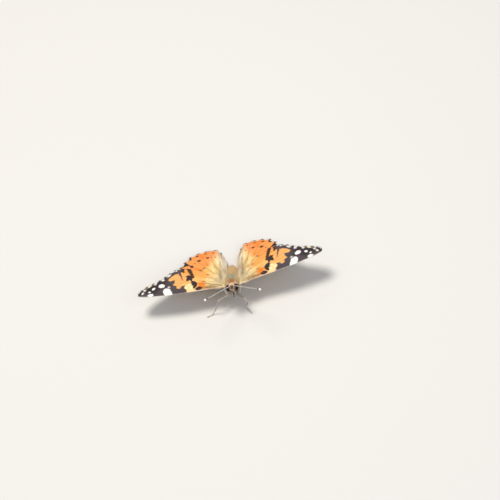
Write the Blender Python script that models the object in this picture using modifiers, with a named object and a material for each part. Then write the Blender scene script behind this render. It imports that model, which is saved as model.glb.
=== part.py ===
"""A painted lady butterfly at life size, standing on the floor with its wings held flat.

Everything is in metres, +Z up. The head points along -Y and the butterfly's own left is +X.
The body and wings are laid out in the wing plane, which is then pitched nose up and lifted
onto the legs, and the whole is moved so that the middle of its box's base is the origin.
"""

import math

import bmesh
import bpy
from mathutils import Matrix, Vector
from mathutils.geometry import delaunay_2d_cdt

MM = 0.001

# Stance
PITCH = math.radians(12.0)          # the wing plane, nose up
WING_BASE_HEIGHT = 8.6 * MM         # wing plane's middle above the floor
GAP = 0.3 * MM                      # between pieces that meet

# Wing angles, for the butterfly's own left (+1) and right (-1) side
FOREWING_SWEEP = {+1: math.radians(39.0), -1: math.radians(36.0)}
HINDWING_SWEEP = {+1: math.radians(12.5), -1: math.radians(13.5)}
WING_RISE = {+1: math.radians(7.4), -1: math.radians(1.8)}

# Wing sheets
MEMBRANE = 0.5 * MM                 # thickness
VEIN_RIDGE = 0.12 * MM              # height of a vein on each face
VEIN_HALF_WIDTH = 0.34 * MM
WING_STACK = MEMBRANE + 2 * VEIN_RIDGE + GAP   # hindwing's middle below the forewing's
SCALLOP = {"forewing": 0.25 * MM, "hindwing": 0.45 * MM}   # depth between two vein ends
FOLD_WIDTH = 2.6 * MM               # strip of the hindwing that bends down by the abdomen
FOLD_DROP = 1.5 * MM
SAG_START = 4.0 * MM                # behind this both wings bend down a little,
SAG_RADIUS = 230 * MM               # along an arc of this radius

# Hinges, (outward, forward) in the wing plane
FOREWING_HINGE = Vector((2.5, 2.1)) * MM
HINDWING_HINGE = Vector((1.8, 0.0)) * MM

# Spread forewing and hindwing: (outward, forward) in millimetres from the body's middle
FOREWING = {
    "costa": [(2.2, 2.9), (6.5, 5.4), (10.0, 7.9), (13.8, 10.6), (17.5, 13.0), (23.8, 16.5), (26.3, 17.7)],
    "apex": [(28.6, 18.2), (29.7, 17.5)],
    "margin": [(30.1, 15.9), (29.6, 13.2), (28.5, 10.5), (27.2, 8.0), (26.4, 5.3), (26.0, 2.6), (25.2, 0.0),
               (23.8, -1.6)],
    "inner": [(20.0, -2.2), (14.0, -2.0), (8.0, -0.9), (3.5, 0.3), (1.4, 0.8)],
    "veins": {
        "subcosta": [(1.8, 2.3), (8.6, 6.6), (16.0, 11.9)],
        "radius_1": [(1.8, 1.9), (10.5, 6.9), (18.5, 13.5)],
        "radius_2": [(10.5, 6.9), (13.8, 8.6), (21.2, 15.0)],
        "radius_3": [(13.8, 8.6), (19.5, 12.2), (25.2, 17.1)],
        "radius_4": [(19.5, 12.2), (24.0, 14.8), (28.4, 18.1)],
        "radius_5": [(24.0, 14.8), (30.0, 16.1)],
        "media_1": [(13.8, 8.6), (20.0, 10.7), (29.6, 13.3)],
        "cell_end": [(13.8, 8.6), (14.5, 6.8), (13.6, 4.5)],
        "media_2": [(14.5, 6.8), (20.5, 8.9), (28.5, 10.6)],
        "media_3": [(13.6, 4.5), (20.0, 6.6), (27.2, 8.0)],
        "cubitus": [(1.8, 1.4), (8.0, 2.9), (13.6, 4.5)],
        "cubitus_1": [(12.0, 4.1), (18.5, 4.9), (26.4, 5.3)],
        "cubitus_2": [(8.0, 2.9), (16.5, 2.7), (26.0, 2.6)],
        "anal": [(1.7, 1.0), (10.0, 0.5), (25.1, 0.0)],
    },
}
HINDWING = {
    "costa": [(1.2, 0.2), (5.0, 1.0), (10.0, 1.3), (15.0, 0.4), (19.3, -1.9)],
    "apex": [(21.0, -4.0)],
    "margin": [(21.7, -6.6), (21.5, -10.1), (20.6, -13.6), (19.3, -17.5), (16.4, -20.0), (13.1, -21.5),
               (10.0, -21.8), (7.9, -20.5)],
    "inner": [(5.9, -16.7), (4.3, -11.6), (2.9, -6.0), (1.8, -2.6)],
    "veins": {
        "subcosta": [(1.6, -0.3), (7.0, 0.2), (14.0, -0.7), (20.6, -3.4)],
        "radius": [(1.6, -0.8), (7.6, -2.2), (14.0, -4.0), (21.6, -6.6)],
        "media_1": [(7.6, -2.2), (13.5, -6.2), (21.4, -10.1)],
        "media_2": [(8.6, -2.8), (9.4, -4.6), (14.0, -9.0), (20.5, -13.6)],
        "media_3": [(8.2, -6.3), (13.5, -11.9), (19.2, -17.4)],
        "cubitus": [(1.7, -1.5), (5.6, -5.0), (8.2, -6.3)],
        "cubitus_1": [(8.2, -6.3), (12.2, -13.0), (16.3, -19.8)],
        "cubitus_2": [(5.6, -5.0), (9.2, -12.6), (13.0, -21.3)],
        "anal": [(1.7, -2.1), (6.2, -11.0), (9.8, -21.6)],
    },
}
SCALLOP_STEPS = 5                   # points to a scallop
EDGE_STEP = 1.0 * MM                # point spacing along the wing's edge
VEIN_STEP = 1.7 * MM                # and along a vein
GRID_STEP = 2.6 * MM                # and over the membrane
VEIN_CLEAR = 0.35 * MM              # least distance of a vein's point from the wing's edge,
FOOT_CLEAR = 0.5 * MM               # of a point beside a vein from that edge,
GRID_EDGE_CLEAR = 0.5 * GRID_STEP   # of a membrane point from that edge,
GRID_VEIN_CLEAR = 0.42 * GRID_STEP  # and from a vein

# Body sections: (distance back, half width, half height, lift) in millimetres in the wing plane.
# A section's middle is on the body's own axis, which drops towards the tail, or lifted off it.
AXIS_HEIGHT = -1.0 * MM
AXIS_DROP = 0.19
THORAX = [(-3.6, 1.25, 1.35, 0.85), (-3.0, 2.00, 2.05, 0.55), (-1.8, 2.70, 2.75, 0.20), (0.1, 3.05, 3.10, 0.0),
          (1.9, 2.80, 2.90, 0.0), (3.1, 2.25, 2.40, 0.0), (3.8, 1.65, 1.80, 0.0)]
ABDOMEN_START = 3.8 * MM + GAP
ABDOMEN_LENGTH = 9.9 * MM
ABDOMEN_RADIUS = 2.25 * MM
ABDOMEN_SEGMENTS = 8
SEGMENT_GROOVE = 0.07               # depth of the groove between two segments, as a share
SWELL_START, SWELL_RUN = 0.24, 0.70 # stretch of a half wave that the abdomen's sides follow
SWELL_FULLNESS = 0.75               # below 1 the sides are fuller than the wave
ABDOMEN_FLATNESS = 0.96             # height as a share of width

# Head
HEAD_CENTRE = Vector((0.0, -4.95, 0.70)) * MM
HEAD_SIZE = Vector((1.45, 1.35, 1.45)) * MM
EYE_CENTRE = Vector((1.28, -5.15, 0.78)) * MM
EYE_SIZE = Vector((0.88, 1.12, 1.22)) * MM
ANTENNA_BASE = Vector((0.60, -5.45, 1.75)) * MM
ANTENNA_TIP = {+1: Vector((10.4, -17.2, 6.2)) * MM, -1: Vector((-8.95, -17.9, 6.7)) * MM}
ANTENNA_SHAFT_RADIUS = 0.25 * MM
ANTENNA_CLUB_RADIUS = 0.58 * MM
PALP_PATH = [(0.66, -5.2, -0.60), (0.66, -6.3, -0.75), (0.60, -7.3, -0.30), (0.50, -8.1, 0.40)]
PALP_RADII = [0.30, 0.42, 0.42, 0.26]
TONGUE_CENTRE = Vector((0.0, -5.75, -1.75)) * MM
TONGUE_COIL_RADIUS = 0.80 * MM
TONGUE_RADIUS = 0.25 * MM
TONGUE_START, TONGUE_TURN = 60, 400 # degrees
TONGUE_POINTS = 9

# Legs: hips and knees in the wing plane, feet on the floor, all measured from the wing bases' middle
COXA_RADIUS = 0.55 * MM
FEMUR_RADIUS = 0.40 * MM
TIBIA_RADIUS = 0.30 * MM
TARSUS_RADIUS = 0.26 * MM
SOLE_HEIGHT = 0.18 * MM             # middle of the last joints above the floor
FOOT_SHARE = 0.55                   # of the way from ankle to toe that lies flat on the floor
SOLE_FLAT = 0.3 * SOLE_HEIGHT       # what is below this is pressed to the floor
HIP_DEPTH = 0.45                    # how far a leg's root reaches from the hip to the body's axis
SHIN_MIDDLE = 0.55                  # place of the shin's middle point, from knee to ankle
FORELEG_PATH = [(1.15, -2.4, -2.3), (1.75, -3.2, -2.5), (2.75, -3.9, -0.1), (2.45, -4.9, -0.9), (1.85, -5.3, -2.2)]
FORELEG_RADII = [0.42, 0.42, 0.36, 0.32, 0.26]
MIDLEG_HIP = Vector((0.70, -1.6, -4.0)) * MM
HINDLEG_HIP = Vector((1.35, 1.5, -3.2)) * MM
MIDLEG_KNEE = {+1: Vector((4.2, -7.3, -4.7)) * MM, -1: Vector((-5.6, -4.9, -3.7)) * MM}
MIDLEG_ANKLE = {+1: Vector((3.3, -6.6, 1.6)) * MM, -1: Vector((-7.8, -5.9, 1.6)) * MM}
MIDLEG_FOOT = {+1: Vector((4.7, -8.9, 0.0)) * MM, -1: Vector((-11.0, -7.0, 0.0)) * MM}
HINDLEG_KNEE = {+1: Vector((6.0, 4.4, -2.6)) * MM, -1: Vector((-6.0, 4.2, -2.8)) * MM}
HINDLEG_ANKLE = {+1: Vector((8.4, 8.6, 1.5)) * MM, -1: Vector((-8.2, 8.2, 1.5)) * MM}
HINDLEG_FOOT = {+1: Vector((9.9, 11.4, 0.0)) * MM, -1: Vector((-9.8, 10.8, 0.0)) * MM}

ROUND = 16                          # sides of the body's sections
BALL_SEGMENTS, BALL_RINGS = 16, 10  # of the head and the eyes
TUBE_BEVEL = 2                      # Blender's bevel resolution: 8 sides
TUBE_STEP = 0.8 * MM                # ring spacing along a tube, unless it is given
MATERIALS = {
    "wing_scales": ((0.86, 0.38, 0.12), 0.62),
    "body_fur": ((0.46, 0.34, 0.19), 0.85),
    "eye": ((0.10, 0.07, 0.05), 0.25),
    "antenna": ((0.16, 0.13, 0.11), 0.55),
    "leg_scales": ((0.42, 0.37, 0.31), 0.65),
}
SIDES = {+1: "left", -1: "right"}


def clear_scene():
    for obj in list(bpy.data.objects):
        bpy.data.objects.remove(obj, do_unlink=True)


def collection(name, hidden=False):
    made = bpy.data.collections.new(name)
    bpy.context.scene.collection.children.link(made)
    made.hide_render = hidden
    return made


def make_materials():
    made = {}
    for name, (colour, roughness) in MATERIALS.items():
        material = bpy.data.materials.new(name)
        material.use_nodes = True
        shader = material.node_tree.nodes["Principled BSDF"]
        shader.inputs["Base Color"].default_value = (*colour, 1.0)
        shader.inputs["Roughness"].default_value = roughness
        shader.inputs["Metallic"].default_value = 0.0
        made[name] = material
    return made


def smooth(points, step):
    """Points about a step apart on a smooth curve through the given ones (Catmull-Rom)."""
    ends = [2 * points[0] - points[1], *points, 2 * points[-1] - points[-2]]
    made = []
    for before, start, end, after in zip(ends, ends[1:], ends[2:], ends[3:]):
        count = max(1, round((end - start).length / step))
        for i in range(count):
            t = i / count
            made.append(
                0.5 * (2 * start + (end - before) * t
                       + (2 * before - 5 * start + 4 * end - after) * t ** 2
                       + (3 * start - before - 3 * end + after) * t ** 3)
            )
    return [*made, points[-1].copy()]


def vectors(points):
    return [Vector(p) * MM for p in points]


def scalloped(ends, depth):
    """The outer margin: full at each vein's end and hollowed between two."""
    made = []
    for start, end in zip(ends, ends[1:]):
        along = end - start
        inward = Vector((along.y, -along.x)).normalized()
        for i in range(SCALLOP_STEPS):
            t = i / SCALLOP_STEPS
            made.append(start + along * t + inward * depth * 4 * t * (1 - t))
    return made


def wing_outline(wing, scallop):
    """The closed outline of the left wing, from the costa's root to the apex and back by the inner edge."""
    costa = smooth(vectors(wing["costa"] + wing["apex"] + wing["margin"][:1]), EDGE_STEP)
    margin = scalloped(vectors(wing["margin"]), scallop)
    inner = smooth(vectors(wing["margin"][-1:] + wing["inner"]), 1.5 * EDGE_STEP)
    return costa[:-1] + margin + inner


def distance_to_line(point, line):
    nearest = math.inf
    for start, end in zip(line, line[1:]):
        along = end - start
        t = max(0.0, min(1.0, (point - start).dot(along) / along.length_squared))
        nearest = min(nearest, (point - start - along * t).length)
    return nearest


def inside(point, outline):
    found = False
    for a, b in zip(outline, outline[1:] + outline[:1]):
        if (a.y > point.y) != (b.y > point.y):
            if point.x < a.x + (b.x - a.x) * (point.y - a.y) / (b.y - a.y):
                found = not found
    return found


def wing_points(outline, veins):
    """The outline, the veins' crests and feet, and a loose grid between them."""
    points = list(outline)
    edges = [(i, (i + 1) % len(outline)) for i in range(len(outline))]
    rim = outline + outline[:1]
    for vein in veins:
        kept = [p for p in vein if inside(p, outline) and distance_to_line(p, rim) > VEIN_CLEAR]
        first = len(points)
        points += kept
        edges += [(first + i, first + i + 1) for i in range(len(kept) - 1)]
        for before, after in zip(kept, kept[1:]):
            side = (after - before).orthogonal().normalized() * VEIN_HALF_WIDTH
            for foot in ((before + after) / 2 + side, (before + after) / 2 - side):
                clear = min(distance_to_line(foot, other) for other in veins if other is not vein)
                if clear > VEIN_HALF_WIDTH and distance_to_line(foot, rim) > FOOT_CLEAR:
                    points.append(foot)
    low_x, high_x = min(p.x for p in outline), max(p.x for p in outline)
    low_y, high_y = min(p.y for p in outline), max(p.y for p in outline)
    for i in range(int((high_x - low_x) / GRID_STEP) + 1):
        for j in range(int((high_y - low_y) / GRID_STEP) + 1):
            spot = Vector((low_x + (i + 0.5 * (j % 2)) * GRID_STEP, low_y + j * GRID_STEP))
            if inside(spot, outline) and distance_to_line(spot, rim) > GRID_EDGE_CLEAR:
                if min(distance_to_line(spot, vein) for vein in veins) > GRID_VEIN_CLEAR:
                    points.append(spot)
    return points, edges


def fold_height(point, inner):
    """How far the hindwing's inner strip bends down beside the abdomen."""
    share = 1 - distance_to_line(point, inner) / FOLD_WIDTH
    return -FOLD_DROP * max(0.0, share) ** 2


def sag_height(back):
    """How far the wings bend down, this far behind the wing bases."""
    return -max(0.0, back - SAG_START) ** 2 / (2 * SAG_RADIUS)


def wing(name, plan, hinge, sweep, side, level, material, home):
    """One wing: a sheet cut to the plan, ridged along its veins, swept and raised about its hinge."""
    kind = name.split("_")[0]
    outline = wing_outline(plan, SCALLOP[kind])
    veins = [smooth(vectors(v), VEIN_STEP) for v in plan["veins"].values()]
    points, edges = wing_points(outline, veins)
    inner = smooth(vectors(plan["inner"]), EDGE_STEP)
    flat, _, faces, *_ = delaunay_2d_cdt(points, edges, [list(range(len(outline)))], 1, 1e-6)
    bm = bmesh.new()
    weight = bm.verts.layers.deform.verify()
    membrane_share = MEMBRANE / (MEMBRANE + 2 * VEIN_RIDGE)
    for point in flat:
        fold = fold_height(point, inner) if kind == "hindwing" else 0.0
        q = point - hinge
        out = q.x * math.cos(sweep) + q.y * math.sin(sweep)
        forward = q.y * math.cos(sweep) - q.x * math.sin(sweep)
        rise = WING_RISE[side]
        back = -(hinge.y + forward)
        height = level + out * math.sin(rise) + fold + sag_height(back)
        vert = bm.verts.new((side * (hinge.x + out * math.cos(rise)), back, height))
        crest = 1 - min(distance_to_line(point, vein) for vein in veins) / VEIN_HALF_WIDTH
        vert[weight][0] = membrane_share + (1 - membrane_share) * max(0.0, crest)
    bm.verts.ensure_lookup_table()
    for face in faces:
        bm.faces.new([bm.verts[i] for i in face])
    bmesh.ops.recalc_face_normals(bm, faces=bm.faces)
    mesh = bpy.data.meshes.new(name)
    bm.to_mesh(mesh)
    bm.free()
    obj = bpy.data.objects.new(name, mesh)
    home.objects.link(obj)
    obj.vertex_groups.new(name="thickness")
    obj.data.materials.append(material)
    shell = obj.modifiers.new("membrane", "SOLIDIFY")
    shell.thickness = MEMBRANE + 2 * VEIN_RIDGE
    shell.offset = 0.0
    shell.vertex_group = "thickness"
    return obj


def lofted(name, sections, material, home):
    """A closed round body through the sections: (middle, half width, half height), front to back."""
    bm = bmesh.new()
    rings = []
    for middle, half_width, half_height in sections:
        ring = []
        for i in range(ROUND):
            turn = math.tau * i / ROUND
            ring.append(bm.verts.new(middle + Vector((half_width * math.cos(turn), 0.0,
                                                      half_height * math.sin(turn)))))
        rings.append(ring)
    for front, back in zip(rings, rings[1:]):
        for i in range(ROUND):
            j = (i + 1) % ROUND
            bm.faces.new((front[i], front[j], back[j], back[i]))
    bm.faces.new(rings[0])
    bm.faces.new(rings[-1])
    bmesh.ops.recalc_face_normals(bm, faces=bm.faces)
    mesh = bpy.data.meshes.new(name)
    bm.to_mesh(mesh)
    bm.free()
    mesh.shade_smooth()
    obj = bpy.data.objects.new(name, mesh)
    obj.data.materials.append(material)
    home.objects.link(obj)
    return obj


def on_axis(back):
    """The body axis's point at this distance behind the wing bases."""
    return Vector((0.0, back, AXIS_HEIGHT - AXIS_DROP * back))


def thorax_sections(grown=0.0):
    made = []
    for back, width, height, lift in THORAX:
        middle = on_axis(back * MM) + Vector((0.0, 0.0, lift * MM))
        made.append((middle, width * MM + grown, height * MM + grown))
    front, rear = made[0], made[-1]
    made[0] = (front[0] - Vector((0, grown, 0)), front[1], front[2])
    made[-1] = (rear[0] + Vector((0, grown, 0)), rear[1], rear[2])
    return made


def abdomen_sections(groove=SEGMENT_GROOVE, grown=0.0):
    """Eight segments that swell and taper to the tail, with a groove where two meet."""
    made = []
    for i in range(2 * ABDOMEN_SEGMENTS + 1):
        share = i / (2 * ABDOMEN_SEGMENTS)
        swell = math.sin(math.pi * (SWELL_START + SWELL_RUN * share)) ** SWELL_FULLNESS
        radius = ABDOMEN_RADIUS * swell * (1 - groove * (1 - i % 2)) + grown
        made.append((on_axis(ABDOMEN_START + ABDOMEN_LENGTH * share), radius, ABDOMEN_FLATNESS * radius))
    return made


def ellipsoid(name, centre, size, material, home):
    bm = bmesh.new()
    bmesh.ops.create_uvsphere(bm, u_segments=BALL_SEGMENTS, v_segments=BALL_RINGS, radius=1.0)
    bmesh.ops.scale(bm, vec=size, verts=bm.verts)
    mesh = bpy.data.meshes.new(name)
    bm.to_mesh(mesh)
    bm.free()
    mesh.shade_smooth()
    obj = bpy.data.objects.new(name, mesh)
    obj.location = centre
    if material:
        obj.data.materials.append(material)
    home.objects.link(obj)
    return obj


def tube(name, points, radii, material, home, step=TUBE_STEP):
    """A round tube of changing radius along a smooth curve, as a closed mesh."""
    path = smooth([Vector((*p, r)) for p, r in zip(points, radii)], step)
    curve = bpy.data.curves.new(name, "CURVE")
    curve.dimensions = "3D"
    curve.bevel_depth = 1.0
    curve.bevel_resolution = TUBE_BEVEL
    curve.use_fill_caps = True
    spline = curve.splines.new("POLY")
    spline.points.add(len(path) - 1)
    for point, place in zip(spline.points, path):
        point.co = (*place[:3], 1.0)
        point.radius = place[3]
    guide = bpy.data.objects.new(name + "_path", curve)
    home.objects.link(guide)
    graph = bpy.context.evaluated_depsgraph_get()
    mesh = bpy.data.meshes.new_from_object(guide.evaluated_get(graph))
    mesh.name = name
    obj = bpy.data.objects.new(name, mesh)
    home.objects.link(obj)
    bpy.data.objects.remove(guide, do_unlink=True)
    bm = bmesh.new()
    bm.from_mesh(mesh)
    bmesh.ops.remove_doubles(bm, verts=bm.verts, dist=1e-6)
    bmesh.ops.recalc_face_normals(bm, faces=bm.faces)
    bm.to_mesh(mesh)
    bm.free()
    mesh.materials.clear()
    mesh.materials.append(material)
    mesh.shade_smooth()
    return obj


def boolean(obj, other, operation):
    cut = obj.modifiers.new(f"{operation.lower()}_{other.name}", "BOOLEAN")
    cut.operation = operation
    cut.object = other
    return cut


def to_floor(point):
    """A point of the wing plane, in the floor's frame, before the model is centred."""
    return Matrix.Rotation(-PITCH, 3, "X") @ point + Vector((0.0, 0.0, WING_BASE_HEIGHT))


def walking_leg(name, hip, knee, ankle, foot, thorax_cutter, material, home):
    """Coxa, femur, tibia and tarsus in one bent piece, with a flat sole at floor level.

    The hip and knee are in the wing plane, and the ankle and foot in the floor's frame.
    """
    hip_low, knee_low = to_floor(hip), to_floor(knee)
    root = hip_low.lerp(to_floor(on_axis(hip.y) + Vector((hip.x, 0.0, 0.0))), HIP_DEPTH)
    reach = Vector((foot.x - ankle.x, foot.y - ankle.y, 0.0))
    toe = foot + Vector((0.0, 0.0, SOLE_HEIGHT))
    heel = toe - reach * FOOT_SHARE
    thigh, shin = hip_low.lerp(knee_low, 0.5), knee_low.lerp(ankle, SHIN_MIDDLE)
    path = [root, hip_low, thigh, knee_low, shin, ankle, heel, toe]
    radii = [COXA_RADIUS, COXA_RADIUS, FEMUR_RADIUS, TIBIA_RADIUS, TIBIA_RADIUS, TARSUS_RADIUS,
             TARSUS_RADIUS, 0.9 * TARSUS_RADIUS]
    leg = tube(name, path, radii, material, home, step=1.1 * MM)
    for vert in leg.data.vertices:
        if vert.co.z < SOLE_FLAT:
            vert.co.z = 0.0
    boolean(leg, thorax_cutter, "DIFFERENCE")
    return leg


def mirrored(points, side):
    return [Vector((side * x, y, z)) * MM for x, y, z in points]


def across(point, side):
    return Vector((side * point.x, point.y, point.z))


def largest_piece(obj):
    """Applies the object's modifiers and keeps its largest closed surface."""
    graph = bpy.context.evaluated_depsgraph_get()
    mesh = bpy.data.meshes.new_from_object(obj.evaluated_get(graph))
    obj.modifiers.clear()
    obj.data = mesh
    bm = bmesh.new()
    bm.from_mesh(mesh)
    bmesh.ops.remove_doubles(bm, verts=bm.verts, dist=2e-6)
    bmesh.ops.triangulate(bm, faces=bm.faces)
    left, islands = set(bm.verts), []
    while left:
        stack = [left.pop()]
        island = set(stack)
        while stack:
            for edge in stack.pop().link_edges:
                for vert in edge.verts:
                    if vert in left:
                        left.discard(vert)
                        island.add(vert)
                        stack.append(vert)
        islands.append(island)
    islands.sort(key=len)
    bmesh.ops.delete(bm, geom=[v for island in islands[:-1] for v in island], context="VERTS")
    bm.to_mesh(mesh)
    bm.free()


def build():
    clear_scene()
    home = collection("painted_lady")
    helpers = collection("cutters", hidden=True)
    finish = make_materials()

    thorax = lofted("thorax", thorax_sections(), finish["body_fur"], home)
    thorax_cutter = lofted("thorax_gap", thorax_sections(GAP), finish["body_fur"], helpers)
    abdomen = lofted("abdomen", abdomen_sections(), finish["body_fur"], home)
    abdomen_cutter = lofted("abdomen_gap", abdomen_sections(0.0, GAP), finish["body_fur"], helpers)

    head = ellipsoid("head", HEAD_CENTRE, HEAD_SIZE, finish["body_fur"], home)
    head_cutter = ellipsoid("head_gap", HEAD_CENTRE, HEAD_SIZE + Vector((GAP,) * 3), None, helpers)
    boolean(head, thorax_cutter, "DIFFERENCE")
    body_plane = [thorax, thorax_cutter, abdomen, abdomen_cutter, head, head_cutter]
    for side, word in SIDES.items():
        eye = ellipsoid(f"eye_{word}", across(EYE_CENTRE, side), EYE_SIZE, finish["eye"], home)
        eye_cutter = ellipsoid(f"eye_gap_{word}", across(EYE_CENTRE, side), EYE_SIZE + Vector((GAP,) * 3),
                               None, helpers)
        boolean(head, eye_cutter, "DIFFERENCE")
        boolean(eye, thorax_cutter, "DIFFERENCE")
        antenna = antenna_of(side, word, finish["antenna"], home)
        boolean(antenna, head_cutter, "DIFFERENCE")
        boolean(antenna, eye_cutter, "DIFFERENCE")
        palp = tube(f"palp_{word}", mirrored(PALP_PATH, side), [r * MM for r in PALP_RADII],
                    finish["body_fur"], home)
        boolean(palp, head_cutter, "DIFFERENCE")
        boolean(palp, eye_cutter, "DIFFERENCE")
        foreleg = tube(f"foreleg_{word}", mirrored(FORELEG_PATH, side), [r * MM for r in FORELEG_RADII],
                       finish["leg_scales"], home)
        for cutter in (thorax_cutter, head_cutter, eye_cutter):
            boolean(foreleg, cutter, "DIFFERENCE")
        forewing = wing(f"forewing_{word}", FOREWING, FOREWING_HINGE, FOREWING_SWEEP[side], side, 0.0,
                        finish["wing_scales"], home)
        hindwing = wing(f"hindwing_{word}", HINDWING, HINDWING_HINGE, HINDWING_SWEEP[side], side, -WING_STACK,
                        finish["wing_scales"], home)
        for sheet in (forewing, hindwing):
            boolean(sheet, thorax_cutter, "DIFFERENCE")
        boolean(hindwing, abdomen_cutter, "DIFFERENCE")
        body_plane += [eye, eye_cutter, antenna, palp, foreleg, forewing, hindwing]
    tongue = tongue_of(finish["antenna"], home)
    boolean(tongue, head_cutter, "DIFFERENCE")
    body_plane.append(tongue)

    stance = bpy.data.objects.new("stance", None)
    stance.location = (0.0, 0.0, WING_BASE_HEIGHT)
    stance.rotation_euler = (-PITCH, 0.0, 0.0)
    home.objects.link(stance)
    for obj in body_plane:
        obj.parent = stance

    legs = []
    for side, word in SIDES.items():
        bpy.context.view_layer.update()
        legs.append(walking_leg(f"midleg_{word}", across(MIDLEG_HIP, side), MIDLEG_KNEE[side],
                                MIDLEG_ANKLE[side], MIDLEG_FOOT[side], thorax_cutter,
                                finish["leg_scales"], home))
        legs.append(walking_leg(f"hindleg_{word}", across(HINDLEG_HIP, side), HINDLEG_KNEE[side],
                                HINDLEG_ANKLE[side], HINDLEG_FOOT[side], thorax_cutter,
                                finish["leg_scales"], home))
    bpy.context.view_layer.update()
    for obj in list(home.objects):
        if obj.type == "MESH":
            largest_piece(obj)
    centre_on_floor(home, stance, legs)


def antenna_of(side, word, material, home):
    """A thin shaft that ends in a club with a rounded tip."""
    base, tip = across(ANTENNA_BASE, side), ANTENNA_TIP[side]
    shares = [-0.05, 0.0, 0.40, 0.82, 0.88, 0.94, 0.985, 1.0]
    thin, thick = ANTENNA_SHAFT_RADIUS, ANTENNA_CLUB_RADIUS
    radii = [1.5 * thin, 1.5 * thin, thin, thin, 0.75 * thick, thick, 0.8 * thick, 0.35 * thick]
    return tube(f"antenna_{word}", [base.lerp(tip, s) for s in shares], radii, material, home, step=1.6 * MM)


def tongue_of(material, home):
    """The tongue, wound in one open turn under the face."""
    points = []
    for i in range(TONGUE_POINTS):
        share = i / (TONGUE_POINTS - 1)
        turn = math.radians(TONGUE_START - TONGUE_TURN * share)
        radius = TONGUE_COIL_RADIUS * (1.25 - 0.75 * share)
        points.append(TONGUE_CENTRE + Vector((0.0, radius * math.cos(turn), radius * math.sin(turn))))
    return tube("proboscis", points, [TONGUE_RADIUS] * TONGUE_POINTS, material, home, step=0.5 * MM)


def centre_on_floor(home, stance, legs):
    """Moves the whole so that the middle of its box's base is the origin."""
    bpy.context.view_layer.update()
    corners = [obj.matrix_world @ v.co for obj in home.objects if obj.type == "MESH" for v in obj.data.vertices]
    low = Vector([min(c[i] for c in corners) for i in range(3)])
    high = Vector([max(c[i] for c in corners) for i in range(3)])
    shift = Vector((-(low.x + high.x) / 2, -(low.y + high.y) / 2, -low.z))
    for obj in [stance, *legs]:
        obj.location += shift


build()
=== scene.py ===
"""The looks of a life-size painted lady butterfly that stands with its wings held flat.

The animal is laid out in millimetres in the plane of its wings: +X is the butterfly's own left,
-Y is ahead of it and +Z is its upper side. The stance turns those places into the frame's metres.
On a wing, places are (outward, forward) from the middle of the body, with the wing spread.
A share runs from 0 to 1, along a part or once round it.
"""

import logging
import math
from dataclasses import dataclass, field
from enum import Enum
from typing import Callable, Sequence

import bpy
import numpy as np
from mathutils import Matrix, Vector

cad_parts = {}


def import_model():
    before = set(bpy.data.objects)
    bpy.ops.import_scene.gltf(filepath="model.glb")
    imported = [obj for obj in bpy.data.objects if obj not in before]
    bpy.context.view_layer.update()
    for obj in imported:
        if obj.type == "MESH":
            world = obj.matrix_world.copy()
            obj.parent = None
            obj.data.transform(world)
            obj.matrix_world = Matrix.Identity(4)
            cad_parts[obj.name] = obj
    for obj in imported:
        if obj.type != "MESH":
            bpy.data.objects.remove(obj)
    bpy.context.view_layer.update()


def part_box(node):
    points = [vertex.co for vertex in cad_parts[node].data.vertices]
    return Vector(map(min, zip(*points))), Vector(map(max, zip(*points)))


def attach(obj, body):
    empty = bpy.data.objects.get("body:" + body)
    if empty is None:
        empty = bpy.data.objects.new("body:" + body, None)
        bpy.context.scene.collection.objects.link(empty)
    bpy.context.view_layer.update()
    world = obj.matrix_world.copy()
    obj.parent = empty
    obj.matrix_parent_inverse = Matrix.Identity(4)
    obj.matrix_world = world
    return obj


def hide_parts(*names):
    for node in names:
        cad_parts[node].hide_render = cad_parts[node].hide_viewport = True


LOG = logging.getLogger("painted_lady")
MM = 0.001
TINY = 1e-9
FULL_TURN = 2 * math.pi
# The layers that every piece carries: its colours, and its map for baking.
PIGMENT = "pigment"
BAKE_MAP = "OFBake"
# The edge of a tuft's own patch on that map.
TUFT_PATCH = 0.003
# How far over the floor the rolled bodies stay at least, in metres.
FLOOR_CLEAR = 0.00001
# Where a rolled grid closes, points nearer than this are merged, in metres.
SEAM = 1e-6
# Cells along each edge of the random lattice behind the noise.
LATTICE = 64

Array = np.ndarray
Point = tuple[float, float]
Place = tuple[float, float, float]
Ring = tuple[float, float, float, float]
Surface = Callable[[Array, Array], Array]


class Side(Enum):
    """The butterfly's own left and right; the value is the sign of X."""

    LEFT = 1
    RIGHT = -1

    @property
    def word(self) -> str:
        """The side as the nodes' names have it."""
        return self.name.lower()

    def of(self, place: Sequence[float]) -> Array:
        """A place that is given for the left, on this side."""
        return np.array(place) * np.array([self.value, 1, 1])


class Face(Enum):
    """The two faces of a wing."""

    UPPER = 1
    UNDER = -1


def linear(colour: str) -> Array:
    """Turns an sRGB hex colour to linear light.

    Args:
        colour: six hex digits after a hash sign.

    Returns:
        Red, green and blue from 0 to 1.
    """
    knee, slope, offset, power = 0.04045, 12.92, 0.055, 2.4
    srgb = np.array([int(colour[i : i + 2], 16) / 255 for i in (1, 3, 5)])
    return np.where(srgb <= knee, srgb / slope, ((srgb + offset) / (1 + offset)) ** power)


def blend(low: Array, high: Array, share: Array) -> Array:
    """Mixes two colours, or two arrays of colours, by a share for each point."""
    share = np.clip(share, 0.0, 1.0)[:, None]
    return low * (1 - share) + high * share


def tint(ground: Array, colour: str, share: Array) -> Array:
    """Mixes a hex colour into linear colours by a share for each point."""
    return blend(ground, linear(colour), share)


def smoothstep(low: float, high: float, value: Array) -> Array:
    """Eases from 0 at low to 1 at high."""
    t = np.clip((value - low) / (high - low), 0.0, 1.0)
    return t * t * (3 - 2 * t)


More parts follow.
